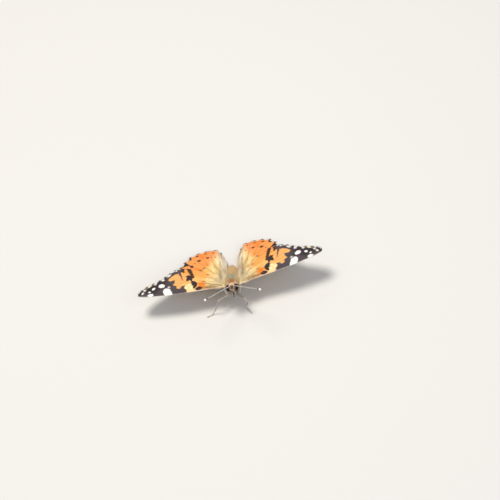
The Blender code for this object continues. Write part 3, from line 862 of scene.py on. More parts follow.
@dataclass
class Tufts:
    """Roots and directions of many tapered tufts, one row to a tuft, in millimetres."""

    root: Array
    normal: Array
    lie: Array
    length: Array
    width: Array
    rise: Array
    colour: Array
    patch: Array
    # Painted shade along each tuft: darker at its root, where the tufts shade each other, and a painted
    # highlight at its tip.
    tip_light: float = 1.15
    root_dark: float = 0.72
    ridge: float = 0.32
    droop: float = 0.45
    stations: tuple[float, ...] = (0.0, 0.42, 0.78)
    taper: tuple[float, ...] = (0.75, 1.0, 0.62)

    @property
    def each(self) -> int:
        """How many points a tuft has: three at each station, and its tip."""
        return 3 * len(self.stations) + 1

    def spine(self, share: float) -> Array:
        """Where the tufts' middle lines are at a share of their length: they rise and then bend down."""
        climb = self.rise * (share - self.droop * share * share)
        return self.root + self.length[:, None] * (self.lie * share + self.normal * climb[:, None])

    def points(self) -> tuple[Array, Array]:
        """Works out every tuft's points.

        Returns:
            Places in the wing plane, and how light each point is.
        """
        side = unit(np.cross(self.lie, self.normal))
        corners = np.array([(-0.5, 0.0), (0.5, 0.0), (0.0, self.ridge)])
        places = np.empty((len(self.root), self.each, 3))
        painted_shades = np.empty((len(self.root), self.each))
        for i, (share, taper) in enumerate(zip(self.stations, self.taper)):
            middle = self.spine(share)
            for j, (across, up) in enumerate(corners):
                offset = (side * across + self.normal * up) * (self.width * taper)[:, None]
                places[:, 3 * i + j] = middle + offset
                # Painted shade, from the root's darkness to the tip's painted highlight.
                painted_shades[:, 3 * i + j] = self.root_dark + (self.tip_light - self.root_dark) * share
        places[:, -1] = self.spine(1.0)
        painted_shades[:, -1] = self.tip_light
        return places, painted_shades

    def faces(self) -> Array:
        """Lists one tuft's triangles: its closed root, its three sides and its tip.

        Returns:
            Rows of three point numbers.
        """
        tip = self.each - 1
        last = tip - 3
        made = [(0, 2, 1)]
        for ring in range(0, last, 3):
            for j in range(3):
                k = (j + 1) % 3
                a, b, c, d = ring + j, ring + k, ring + 3 + k, ring + 3 + j
                made += [(a, b, c), (a, c, d)]
        made += [(last + j, last + (j + 1) % 3, tip) for j in range(3)]
        return np.array(made)

    def build(self, name: str, stance: Stance) -> bpy.types.Object:
        """Makes all the tufts one mesh of closed three-sided blades.

        Args:
            name: the piece's name.
            stance: turns places to the frame's.

        Returns:
            The piece.
        """
        places, painted_shades = self.points()
        world = stance.world(places.reshape(-1, 3)).reshape(places.shape)
        clear = world[:, :, 2].min(1) > 0.0
        world, painted_shades, count = world[clear], painted_shades[clear], int(clear.sum())
        firsts = (np.arange(count) * self.each)[:, None, None]
        corner_rows = (self.faces()[None] + firsts).reshape(-1)
        mesh = bpy.data.meshes.new(name)
        mesh.vertices.add(count * self.each)
        write_places(mesh, world.reshape(-1, 3))
        mesh.loops.add(len(corner_rows))
        mesh.loops.foreach_set("vertex_index", corner_rows.astype(np.int32))
        mesh.polygons.add(len(corner_rows) // 3)
        mesh.polygons.foreach_set("loop_start", np.arange(0, len(corner_rows), 3, dtype=np.int32))
        mesh.update(calc_edges=True)
        mesh.shade_smooth()
        # Each point's colour carries the tuft's painted shade.
        colours = self.colour[clear][:, None, :] * painted_shades[:, :, None]
        write_pigment(mesh, np.clip(colours.reshape(-1, 3), 0, 1))
        self.write_map(mesh, corner_rows, self.patch[clear])
        obj = bpy.data.objects.new(name, mesh)
        bpy.context.scene.collection.objects.link(obj)
        return obj

    def write_map(self, mesh: bpy.types.Mesh, corner_rows: Array, patch: Array) -> None:
        """Gives every tuft a small patch of the bake map at its root's place on the skin.

        Args:
            mesh: the tufts' mesh.
            corner_rows: the point number at each of its faces' corners.
            patch: each tuft's place on the map.
        """
        layer = mesh.uv_layers.new(name=BAKE_MAP)
        within = (corner_rows % self.each) / (self.each - 1)
        column = (corner_rows % 3) / 2
        places = patch[corner_rows // self.each] + TUFT_PATCH * (np.stack([column, within], -1) - 0.5)
        layer.data.foreach_set("uv", places.astype(np.float32).ravel())


@dataclass
class Wing:
    """One wing: its sheet, its fringe and the long hairs near its root."""

    word: str
    plan: WingPlan
    side: Side
    stance: Stance
    rise: dict[Side, float] = field(
        default_factory=lambda: {Side.LEFT: math.radians(7.4), Side.RIGHT: math.radians(1.8)}
    )
    half_thickness: float = 0.075
    thin_cells: int = 3
    vein_ridge: float = 0.10
    vein_half_width: float = 0.26
    vein_shade: Point = (0.34, 0.06)
    vein_light: float = 1.25
    vein_dark: float = 0.70
    # Scales darker than this in linear light count as black.
    black_scales: float = 0.05
    fold_width: float = 2.6
    fold_drop: float = 1.5
    sag_start: float = 4.0
    sag_radius: float = 230.0
    fringe_scales: int = 1500
    fringe_length: Point = (0.42, 0.68)
    fringe_width: Point = (0.10, 0.15)
    fringe_layer: float = 0.03
    hair_length: Point = (1.1, 2.4)
    hair_width: Point = (0.035, 0.065)
    hair_rise: Point = (0.01, 0.05)
    blade: dict[str, tuple[float, ...]] = field(
        default_factory=lambda: {"stations": (0.0, 0.5), "taper": (0.8, 1.0)}
    )

    @property
    def name(self) -> str:
        """The wing's node."""
        return f"{self.word}_{self.side.word}"

    @property
    def hind(self) -> bool:
        """Whether this is a hindwing, which folds beside the body and has more fur."""
        return self.word == "hindwing"

    def posed(self, x: Array, y: Array, height: Array) -> Array:
        """Turns places on the spread wing to the wing plane.

        Args:
            x: outward places.
            y: forward places.
            height: how far over the sheet's middle.

        Returns:
            Rows of places.
        """
        plan, rise, sweep = self.plan, self.rise[self.side], self.plan.sweep[self.side]
        dx, dy = x - plan.hinge[0], y - plan.hinge[1]
        out = dx * math.cos(sweep) + dy * math.sin(sweep)
        back = -(plan.hinge[1] + dy * math.cos(sweep) - dx * math.sin(sweep))
        level = plan.level + plan.lift + out * math.sin(rise) + height
        level = level - np.maximum(0, back - self.sag_start) ** 2 / (2 * self.sag_radius)
        if self.hind:
            away, _ = to_line(x, y, curve(plan.inner, 8))
            level = level - self.fold_drop * np.clip(1 - away / self.fold_width, 0, 1) ** 2
        across = plan.hinge[0] + out * math.cos(rise) - math.sin(rise) * height
        return np.stack([self.side.value * across, back, level], -1)

    def toward(self, x: Array, y: Array, way: Array, height: Array) -> Array:
        """The wing plane's run of a short way on the spread wing."""
        return self.posed(x + way[:, 0], y + way[:, 1], height) - self.posed(x, y, height)

    def height(self, x: Array, y: Array, edge_share: Array) -> Array:
        """Half the sheet's thickness, with the veins' ridges, thinning to nothing at the edge."""
        ridge = self.vein_ridge * smoothstep(self.vein_half_width, 0.0, self.plan.vein_distance(x, y))
        return (self.half_thickness + ridge) * edge_share

    def rolled(self, turn: Array, out: Array) -> tuple[Array, Array, Array, Array]:
        """Lays shares of the rolled sheet on the spread wing.

        Args:
            turn: shares round it, down the upper face and back under the other.
            out: shares of the wing's length.

        Returns:
            Outward and forward places, shares down the wing, and which are on the upper face.
        """
        upper = turn <= 0.5
        down = np.where(upper, 2 * turn, 2 - 2 * turn)
        x, y = self.plan.spread(out, down).T
        return x, y, down, upper

    def faces(self, turn: Array, out: Array) -> Array:
        """Places points on the two faces, which meet at the edge.

        Args:
            turn: shares round the sheet.
            out: shares of the wing's length.

        Returns:
            Rows of places in the wing plane.
        """
        x, y, down, upper = self.rolled(turn, out)
        across, length = self.plan.cells
        cells = np.minimum(np.minimum(down, 1 - down) * across, np.minimum(out, 1 - out) * length)
        thick = self.height(x, y, np.clip(cells / self.thin_cells, 0, 1) ** 0.5)
        return self.posed(x, y, np.where(upper, thick, -thick))

    def pigment(self, turn: Array, out: Array) -> Array:
        """Colours the two faces, with veins darker on bright scales and paler on black ones.

        Args:
            turn: shares round the sheet.
            out: shares of the wing's length.

        Returns:
            Linear colours.
        """
        x, y, _, upper = self.rolled(turn, out)
        faces = {face: self.plan.colours[face](x, y) for face in Face}
        scales = np.where(upper[:, None], faces[Face.UPPER], faces[Face.UNDER])
        vein = smoothstep(*self.vein_shade, self.plan.vein_distance(x, y))
        black = scales.mean(1) < self.black_scales
        tone = np.where(black[:, None], scales * self.vein_light, scales * self.vein_dark)
        return blend(scales, tone, 0.7 * vein)

    def sheet(self) -> bpy.types.Object:
        """Makes the wing's membrane with its scales, as a grid rolled round the two faces.

        Returns:
            The piece.
        """
        across, length = self.plan.cells
        return rolled_grid(self.name + "_sheet", 2 * across, length, self.faces, self.pigment, self.stance)

    def fringe(self) -> bpy.types.Object:
        """Makes the long scales on the outer margin, white between the veins and dark at their ends.

        Returns:
            The piece.
        """
        rng = np.random.default_rng(31)
        line = self.plan.margin_line(self.plan.fringe)
        count, step = self.fringe_scales, 0.004
        share = np.sort(rng.uniform(0.0, 1.0, count))
        x, y = along(line, share).T
        ahead = unit(along(line, np.clip(share + step, 0, 1)) - along(line, np.clip(share - step, 0, 1)))
        outward = np.stack([-ahead[:, 1], ahead[:, 0]], -1)
        phase = np.abs((share * (len(self.plan.margin) - 1)) % 1.0 - 0.5) * 2
        white = smoothstep(0.80, 0.55, phase + 0.12 * rng.normal(size=count))
        colours = blend(linear(SCALES.slate), linear(SCALES.white), 0.9 * white)
        layer = (rng.integers(0, 3, count) - 1) * self.fringe_layer
        lie = unit(self.toward(x, y, outward, layer))
        lie = unit(lie + 0.12 * rng.normal(size=(count, 3)) * np.array([1, 1, 0.4]))
        tufts = Tufts(
            root=self.posed(x, y, layer) - 0.12 * lie,
            normal=np.tile([0.0, 0.0, 1.0], (count, 1)),
            lie=lie,
            length=rng.uniform(*self.fringe_length, count),
            width=rng.uniform(*self.fringe_width, count),
            rise=np.zeros(count),
            colour=colours,
            patch=np.stack([0.25 * share + 0.1, 0.98 + 0.01 * rng.uniform(size=count)], -1),
            # Painted shade at the fringe scales' roots.
            root_dark=0.85,
            tip_light=1.0,
            **self.blade,
        )
        return tufts.build(self.name + "_fringe", self.stance)

    def hairs(self) -> bpy.types.Object:
        """Makes the long silky hairs of the upper face, thickest at the root and the inner edge.

        Returns:
            The piece.
        """
        rng = np.random.default_rng(41)
        draws = 8 * self.plan.hairs
        out = rng.uniform(0.04, 1.0, draws) ** 1.2
        down = rng.uniform(0.02, 0.98, draws)
        x, y = self.plan.spread(out, down).T
        if self.hind:
            chance = smoothstep(8.5, 1.5, x + 0.28 * y)
        else:
            chance = smoothstep(9.5, 2.5, np.hypot(x - 1.5, y - 1.5) - 0.8 * smoothstep(2, -1, y))
        kept = np.flatnonzero(rng.uniform(size=draws) < chance)[: self.plan.hairs]
        x, y, out, down = x[kept], y[kept], out[kept], down[kept]
        count = len(kept)
        # They fan out from near the hinge and lie close over the sheet.
        hinge = np.array(self.plan.hinge) * 0.5
        away = unit(np.stack([x - hinge[0], y - hinge[1]], -1))
        away = unit(away + 0.06 * rng.normal(size=away.shape))
        surface = self.height(x, y, np.ones(count)) - 0.03
        lie = unit(self.toward(x, y, 0.5 * away, surface))
        beside = self.toward(x, y, 0.5 * np.stack([-away[:, 1], away[:, 0]], -1), surface)
        normal = np.cross(beside, lie)
        normal = unit(normal * np.sign(normal[:, 2:3]))
        # They take the colour under them, paler near the root but not over black.
        under = self.plan.colours[Face.UPPER](x, y)
        pale = rng.uniform(0.0, 0.5, count) * smoothstep(0.02, 0.15, under.mean(1))
        warm = rng.uniform(size=count) < 0.35
        silk = np.where(warm[:, None], linear(SCALES.fawn), linear(SCALES.cream))
        if self.hind:
            silk = tint(silk, SCALES.pearl, smoothstep(4.5, 2.5, x + 0.28 * y))
            pale *= smoothstep(9.5, 4.5, x + 0.28 * y)
        else:
            pale *= smoothstep(11.0, 5.0, np.hypot(x, y))
        span = np.linalg.norm(np.array(self.plan.margin[-1]) - np.array(self.plan.inner[0]))
        tufts = Tufts(
            root=self.posed(x, y, surface),
            normal=normal,
            lie=lie,
            length=np.minimum(rng.uniform(*self.hair_length, count), (1 - out) * span + 0.2),
            width=rng.uniform(*self.hair_width, count),
            rise=rng.uniform(*self.hair_rise, count),
            colour=blend(under, silk, pale),
            patch=np.stack([0.5 * down, out], -1),
            # No painted shade at the hairs' roots, and a faint painted highlight at their tips.
            root_dark=1.0,
            tip_light=1.10,
            ridge=0.14,
            **self.blade,
        )
        return tufts.build(self.name + "_hairs", self.stance)

    def build(self) -> list[bpy.types.Object]:
        """Makes the wing's pieces; the sheet stands for the CAD wing.

        Returns:
            Sheet, fringe and hairs.
        """
        sheet, fringe, hairs = self.sheet(), self.fringe(), self.hairs()
        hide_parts(self.name)
        return [sheet, fringe, hairs]


@dataclass(frozen=True)
class BodyColours:
    """The colours of the head, thorax and abdomen."""

    disc: str = "#BFC0A2"
    tan: str = "#E0BF8C"
    collar: str = "#CE8E50"
    crown: str = "#FFD9B0"
    face: str = "#6A4430"
    rust: str = "#C98F56"
    white: str = "#FFE6C8"
    belly: str = "#EFE6D6"
    band: str = "#A9773F"
    flank: str = "#F8E4B8"


@dataclass(frozen=True)
class Coat:
    """One stretch of fur, from its start to its end in millimetres back.

    Length, width and rise are ranges over its tufts. Spread is how far the tufts turn off the
    body's line, and the seed picks their draws.
    """

    name: str
    count: int
    low: float
    high: float
    length: Point
    width: Point
    rise: Point
    spread: float
    seed: int


COATS = (
    Coat("face_coat", 3600, -6.3, -4.9, (0.20, 0.38), (0.03, 0.05), (0.20, 0.50), 0.30, 55),
    Coat("crown_coat", 4200, -5.0, -3.8, (0.35, 0.70), (0.03, 0.06), (0.30, 0.70), 0.35, 51),
    Coat("prothorax_coat", 11500, -3.9, -0.6, (0.60, 1.20), (0.04, 0.07), (0.20, 0.50), 0.25, 52),
    Coat("thorax_coat", 11800, -0.6, 4.2, (0.80, 1.50), (0.04, 0.07), (0.15, 0.45), 0.25, 54),
    Coat("abdomen_coat", 12000, 3.8, 14.1, (0.40, 0.75), (0.05, 0.08), (0.12, 0.30), 0.18, 53),
    Coat("tail_coat", 500, 13.0, 14.1, (0.70, 1.10), (0.05, 0.08), (0.05, 0.25), 0.12, 57),
)


@dataclass
class Body:
    """Head, thorax and abdomen under one skin, with the coat on it."""

    stance: Stance
    colours: BodyColours = field(default_factory=BodyColours)
    axis_height: float = -1.0
    axis_drop: float = 0.19
    neck: float = -3.9
    head: tuple[Ring, ...] = (
        (-6.18, 0.30, 0.35, 1.40), (-6.0, 0.72, 0.82, 1.44), (-5.6, 1.02, 1.12, 1.40),
        (-4.95, 1.18, 1.22, 1.35), (-4.3, 1.02, 1.05, 1.32),
    )
    thorax: tuple[Ring, ...] = (
        (-3.75, 0.95, 1.05, 0.95), (-3.3, 1.45, 1.50, 0.70), (-2.8, 1.90, 1.95, 0.45),
        (-1.8, 2.38, 2.43, 0.20), (0.1, 2.73, 2.78, 0.0), (1.9, 2.50, 2.60, 0.0), (3.1, 1.95, 2.10, 0.0),
        (3.9, 1.50, 1.60, 0.0),
    )
    face_tip: Ring = (-6.26, 0.0, 0.0, 1.40)
    tail_cap: float = 0.12
    abdomen_start: float = 4.1
    abdomen_length: float = 9.9
    abdomen_radius: float = 2.25
    abdomen_depth: float = 0.96
    abdomen_coat: float = 0.14
    segments: int = 8
    segment_rows: int = 8
    segment_groove: float = 0.045
    skin_cells: tuple[int, int] = (40, 180)
    skin_shade: float = 0.75
    eye_room: Place = (0.95, 1.18, 1.26)

    def sections(self) -> Array:
        """Lists the skin's sections from the face to the tail.

        Returns:
            Rows of (back, half width, half height, lift off the axis).
        """
        count = self.segment_rows * self.segments
        share = np.arange(1, count + 1) / count
        swell = np.maximum(0.0, np.sin(math.pi * (0.24 + 0.70 * share))) ** 0.75
        groove = self.segment_groove * np.cos(math.pi * self.segments * share) ** 2
        radius = self.abdomen_radius * swell * (1 - groove) - self.abdomen_coat
        back = self.abdomen_start + self.abdomen_length * share
        tail = np.stack([back, radius, self.abdomen_depth * radius, np.zeros(count)], -1)
        front = curve([*self.head, *self.thorax], 10)
        return np.array([self.face_tip, *front, *tail, (back[-1] + self.tail_cap, 0.0, 0.0, 0.0)])

    def row(self, share: Array) -> Array:
        """The section at a share of the way from the face to the tail."""
        rows = self.sections()
        return np.stack([np.interp(share, np.linspace(0, 1, len(rows)), column) for column in rows.T], -1)

    def middle(self, back: Array) -> Array:
        """The height of the thorax's axis, which climbs forward."""
        return self.axis_height - self.axis_drop * back

    def lift_scale(self, back: Array) -> Array:
        """How much of its lift a row keeps: the head's rows lose half of it toward the face."""
        return np.where(back < self.neck, 1.0 - 0.5 * smoothstep(self.neck, -6.2, back), 1.0)

    def surface(self, turn: Array, share: Array) -> Array:
        """Places points on the skin.

        Args:
            turn: shares round the body, from the belly up the left side.
            share: shares from the face to the tail.

        Returns:
            Rows of places in the wing plane.
        """
        back, wide, high, lift = self.row(share).T
        angle = FULL_TURN * turn - math.pi / 2
        middle = self.middle(back) + lift * self.lift_scale(back)
        return np.stack([wide * np.cos(angle), back, middle + high * np.sin(angle)], -1)

    def tone(self, place: Array, jitter: Array) -> Array:
        """Finds the coat's colour.

        Args:
            place: rows of places in the wing plane.
            jitter: how far each tuft strays from its neighbours.

        Returns:
            Linear colours.
        """
        c = self.colours
        x, back, z = place.T
        aside = np.abs(x)
        upness = np.clip((z - self.middle(back)) / 2.5, -1, 1)
        # A grey-green disc on a tan back, with a rusty collar ahead of it and pale flanks beside it.
        disc = np.exp(-(x / 1.25) ** 2 - ((back + 0.4) / 1.9) ** 2)
        coat = blend(linear(c.tan), linear(c.disc), 1.4 * disc + 0.12 * jitter)
        coat = tint(coat, c.collar, 0.9 * smoothstep(-2.1, -2.8, back + 0.30 * x ** 2 + 0.25 * jitter))
        flank = smoothstep(1.5, 2.4, aside + 0.15 * jitter)
        flank = flank * smoothstep(-3.0, -2.2, back) * smoothstep(4.6, 3.4, back)
        coat = tint(coat, c.flank, 0.75 * flank)
        # The abdomen is banded at its joints and clouded with rust; the belly is pale.
        segment = (back - self.abdomen_start) / self.abdomen_length * self.segments
        ring = smoothstep(0.72, 0.98, segment - np.floor(segment)) * smoothstep(4.0, 4.6, back)
        coat = tint(coat, c.band, 0.75 * ring + 0.12 * jitter)
        cloud = smoothstep(0.0, 0.8, noise(1.3 * x + 5, 0.9 * back, 56)) * smoothstep(4.0, 5.0, back)
        coat = tint(coat, c.rust, 0.45 * cloud)
        coat = tint(coat, c.belly, smoothstep(-0.15, -0.55, upness + 0.15 * jitter))
        # The crown is pale, the face has a dark middle, and white tufts stand beside the eyes.
        coat = tint(coat, c.crown, smoothstep(-3.7, -4.1, back))
        dip = 0.57 * back + 0.82 * z + 0.12 * jitter
        face = smoothstep(-1.35, -1.65, dip) * smoothstep(-2.95, -2.75, dip) * smoothstep(-4.6, -4.9, back)
        coat = tint(coat, c.face, 0.95 * face * smoothstep(0.62, 0.42, aside))
        corner = np.exp(-((aside - 1.05) / 0.45) ** 2 - ((back + 3.75) / 0.50) ** 2 - ((z - 1.0) / 0.8) ** 2)
        cheek = smoothstep(-3.6, -4.0, back) * smoothstep(0.9, 1.3, aside) * smoothstep(-5.0, -4.4, back)
        return tint(coat, c.white, 1.6 * corner + 0.9 * cheek)

    def skin(self) -> bpy.types.Object:
        """Makes the one skin under the coat.

        Returns:
            The piece.
        """

        def pigment(turn: Array, share: Array) -> Array:
            """The coat's colours, a little darker."""
            place = self.surface(turn, share)
            return self.tone(place, np.zeros(len(place))) * self.skin_shade

        return rolled_grid("body_skin", *self.skin_cells, self.surface, pigment, self.stance)

    def roots(self, count: int, low: float, high: float, rng: np.random.Generator) -> tuple[Array, ...]:
        """Spreads tuft roots evenly over a stretch of the skin.

        Args:
            count: how many.
            low: the stretch's start, in millimetres back.
            high: its end.
            rng: the draws.

        Returns:
            Places, outward normals, backward directions, and shares round and along.
        """
        turn, share = rng.uniform(0, 1, 12 * count), rng.uniform(0.003, 0.997, 12 * count)
        step = 1e-3
        place = self.surface(turn, share)
        around = (self.surface(turn + step, share) - self.surface(turn - step, share)) / (2 * step)
        onward = (self.surface(turn, share + step) - self.surface(turn, share - step)) / (2 * step)
        normal = np.cross(around, onward)
        area = np.linalg.norm(normal, axis=1)
        chance = area / np.percentile(area, 97) * ((place[:, 1] >= low) & (place[:, 1] < high))
        kept = np.flatnonzero(rng.uniform(size=len(area)) < chance)[:count]
        place, outward = place[kept], unit(-normal[kept])
        middle = place * np.array([0, 1, 0])
        middle[:, 2] = self.middle(middle[:, 1])
        outward *= np.sign(np.sum(outward * (place - middle), 1))[:, None]
        return place, outward, unit(onward[kept]), turn[kept], share[kept]

    def fur(self, coat: Coat) -> bpy.types.Object:
        """Makes one stretch of the coat, clear of the eyes.

        Args:
            coat: the stretch.

        Returns:
            The piece.
        """
        rng = np.random.default_rng(coat.seed)
        rows = self.roots(coat.count, coat.low, coat.high, rng)
        clear = np.ones(len(rows[0]), bool)
        for side in Side:
            away = (rows[0] - side.of(self.stance.eye)) / np.array(self.eye_room)
            clear &= np.linalg.norm(away, axis=1) > 1.0
        place, normal, lie, turn, share = (row[clear] for row in rows)
        kept = len(place)
        lie = lie + coat.spread * rng.normal(size=(kept, 3))
        lie = unit(lie - normal * np.sum(lie * normal, 1)[:, None])
        jitter = rng.normal(size=kept) * 0.8
        tufts = Tufts(
            root=place - 0.04 * normal,
            normal=normal,
            lie=lie,
            length=rng.uniform(*coat.length, kept),
            width=rng.uniform(*coat.width, kept),
            rise=rng.uniform(*coat.rise, kept),
            colour=self.tone(place, jitter) * rng.uniform(0.82, 1.12, kept)[:, None],
            patch=np.stack([turn, share], -1),
            # Painted shade at the tufts' roots, and a painted highlight at their tips.
            root_dark=0.82,
        )
        return tufts.build(coat.name, self.stance)

    def build(self) -> list[bpy.types.Object]:
        """Makes the skin and its coat; the skin stands for head, thorax and abdomen.

        Returns:
            The skin, then the stretches of the coat.
        """
        skin = self.skin()
        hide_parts("head", "thorax", "abdomen")
        return [skin, *(self.fur(coat) for coat in COATS)]


@dataclass(frozen=True)
class Sweep:
    """A round body along a smooth path, through (x, y, z, radius) in the wing plane.

    Its angles are counted from a reference direction, which no path of the animal runs along.
    """

    points: tuple[Ring, ...]
    reference: Place = (0.21, 0.35, 0.91)

    def line(self) -> Array:
        """The dense path."""
        return curve(self.points, 16)

    def frames(self, share: Array) -> tuple[Array, Array, Array, Array]:
        """Finds the path's frames.

        Args:
            share: shares of its length.

        Returns:
            Middles, two directions across, and radii.
        """
        line, step = self.line(), 0.004
        at = along(line, share)
        run = along(line, np.clip(share + step, 0, 1)) - along(line, np.clip(share - step, 0, 1))
        tangent = unit(run[:, :3])
        first = unit(np.cross(tangent, np.array(self.reference)))
        return at[:, :3], first, np.cross(tangent, first), at[:, 3]

    def surface(self, turn: Array, share: Array, profile: Array | float = 1.0) -> Array:
        """Places points on the body, with rounded ends.

        Args:
            turn: shares round it.
            share: shares along it.
            profile: swells and narrows it.

        Returns:
            Rows of places.
        """
        middle, first, second, radius = self.frames(share)
        length = np.linalg.norm(np.diff(self.line()[:, :3], axis=0), axis=1).sum()
        end = np.clip(np.minimum(share, 1 - share) * length / np.maximum(radius, TINY), 0, 1)
        radius = radius * np.sqrt(np.clip(1 - (1 - end) ** 2, 0, 1)) * profile
        angle = (FULL_TURN * turn)[:, None]
        return middle + radius[:, None] * (first * np.cos(angle) + second * np.sin(angle))

    def scattered(self, count: int, low: float, high: float, rng: np.random.Generator) -> tuple[Array, ...]:
        """Scatters tuft roots over part of the body.

        Args:
            count: how many.
            low: the part's start, as a share of the length.
            high: its end.
            rng: the draws.

        Returns:
            Places, outward normals, onward directions, and shares round and along.
        """
        turn, share = rng.uniform(0, 1, count), rng.uniform(low, high, count)
        step = 0.01
        place = self.surface(turn, share)
        onward = unit(self.surface(turn, share + step) - self.surface(turn, share - step))
        out = place - self.frames(share)[0]
        normal = unit(out - onward * np.sum(out * onward, 1)[:, None])
        return place, normal, onward, turn, share


@dataclass
class Eye:
    """One compound eye, with the ring of short white scales where it leaves the head."""

    side: Side
    stance: Stance
    size: Place = (0.88, 1.12, 1.22)
    cells: tuple[int, int] = (40, 26)
    # Brown above and nearly black below; the darker underside is painted shade.
    upper: str = "#2C1D13"
    lower: str = "#100A08"
    edge: str = "#9C8B78"
    lash: str = "#FBF4EA"
    rim_angle: float = 125.0
    rim_scales: int = 800
    rim_length: Point = (0.14, 0.26)
    rim_width: Point = (0.03, 0.045)
    rim_rise: Point = (0.1, 0.4)

    @property
    def centre(self) -> Array:
        """The eye's middle."""
        return self.side.of(self.stance.eye)

    def ball(self, down: Array, around: Array) -> Array:
        """Places points on the eye, about its middle.

        Args:
            down: angles down from its outer pole.
            around: angles round that pole.

        Returns:
            Rows of places.
        """
        outward, across = np.cos(down) * self.side.value, np.sin(down)
        spot = np.stack([outward, across * np.cos(around), across * np.sin(around)], -1)
        return spot * np.array(self.size)

    def shape(self, turn: Array, share: Array) -> Array:
        """The ball, in the wing plane."""
        return self.centre + self.ball(math.pi * share, FULL_TURN * turn)

    def pigment(self, turn: Array, share: Array) -> Array:
        """Colours the ball brown above, darker below as painted shade, and pale at its rim.

        Args:
            turn: shares round it.
            share: shares down from its outer pole.

        Returns:
            Linear colours.
        """
        # Painted shade: the colour darkens from the top of the eye to its underside.
        height = np.sin(math.pi * share) * np.sin(FULL_TURN * turn)
        cloud = 0.25 * noise(14 * turn, 14 * share, 61)
        colour = blend(linear(self.lower), linear(self.upper), smoothstep(-0.6, 0.9, height + cloud))
        return tint(colour, self.edge, 0.85 * smoothstep(0.66, 0.76, share))

    def build(self) -> list[bpy.types.Object]:
        """Makes the ball of lenses.

        Returns:
            The one piece.
        """
        name = f"eye_{self.side.word}_facets"
        eye = rolled_grid(name, *self.cells, self.shape, self.pigment, self.stance)
        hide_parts(f"eye_{self.side.word}")
        return [eye]

    def rim(self) -> bpy.types.Object:
        """Makes the ring of short white scales.

        Returns:
            The piece.
        """
        rng = np.random.default_rng(62)
        count = self.rim_scales
        around = rng.uniform(0, FULL_TURN, count)
        down = math.radians(self.rim_angle) + 0.10 * rng.normal(size=count)
        root = self.ball(down, around)
        normal = unit(root / np.array(self.size) ** 2)
        colour = np.tile(linear(self.lash), (count, 1)) * rng.uniform(0.8, 1.1, count)[:, None]
        scales = Tufts(
            root=self.centre + root - 0.03 * normal,
            normal=normal,
            lie=unit(self.ball(down - 0.2, around) - root),
            length=rng.uniform(*self.rim_length, count),
            width=rng.uniform(*self.rim_width, count),
            rise=rng.uniform(*self.rim_rise, count),
            colour=colour,
            patch=np.stack([around / FULL_TURN, down / math.pi], -1),
        )
        return scales.build(f"eye_{self.side.word}_rim", self.stance)


@dataclass
class Antenna:
    """One feeler: a ringed shaft that ends in a dark club with a pale tip."""

    side: Side
    stance: Stance
    base: Place = (0.60, -5.45, 1.75)
    tip: dict[Side, Place] = field(
        default_factory=lambda: {Side.LEFT: (10.4, -17.2, 6.2), Side.RIGHT: (-8.95, -17.9, 6.7)}
    )
    shaft: float = 0.17
    # Shares of the length, and how wide the feeler is there, in shafts.
    stations: tuple[Point, ...] = (
        (-0.03, 1.6), (0.0, 1.5), (0.03, 1.0), (0.40, 0.95), (0.82, 1.0), (0.90, 1.8), (0.95, 2.5),
        (0.985, 2.1), (1.0, 1.3),
    )
    rings: int = 38
    ring_cells: int = 6
    round_cells: int = 12
    bead: float = 0.10
    bead_end: Point = (0.86, 0.80)
    ring_end: Point = (0.915, 0.885)
    pale_start: Point = (0.950, 0.963)
    dark: str = "#2B221E"
    ring: str = "#F0EAE2"
    pale: str = "#F4ECDD"

    def sweep(self) -> Sweep:
        """Lays out the feeler's path and thickness.

        Returns:
            The path.
        """
        base, tip = self.side.of(self.base), np.array(self.tip[self.side])
        rows = [(*(base + (tip - base) * share), self.shaft * wide) for share, wide in self.stations]
        return Sweep(tuple(rows))

    def wave(self, share: Array) -> Array:
        """The rings' wave at shares of the length: 1 on a ring and -1 between two."""
        return np.cos(FULL_TURN * self.rings * share)

    def pigment(self, turn: Array, share: Array) -> Array:
        """Colours white rings on black, up to the black club and its pale tip.

        Args:
            turn: shares round the feeler; not used, as all look the same.
            share: shares of its length.

        Returns:
            Linear colours.
        """
        white = smoothstep(-0.4, 0.2, self.wave(share)) * smoothstep(*self.ring_end, share)
        colour = blend(linear(self.dark), linear(self.ring), 0.95 * white)
        return tint(colour, self.pale, smoothstep(*self.pale_start, share))

    def build(self) -> list[bpy.types.Object]:
        """Makes the feeler.

        Returns:
            The one piece.
        """
        sweep = self.sweep()

        def shape(turn: Array, share: Array) -> Array:
            """A beaded shaft and a smooth club."""
            bead = 1 + self.bead * self.wave(share) * smoothstep(*self.bead_end, share)
            return sweep.surface(turn, share, bead)

        name, long = f"antenna_{self.side.word}", self.ring_cells * self.rings
        feeler = rolled_grid(name + "_rings", self.round_cells, long, shape, self.pigment, self.stance)
        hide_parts(name)
        return [feeler]


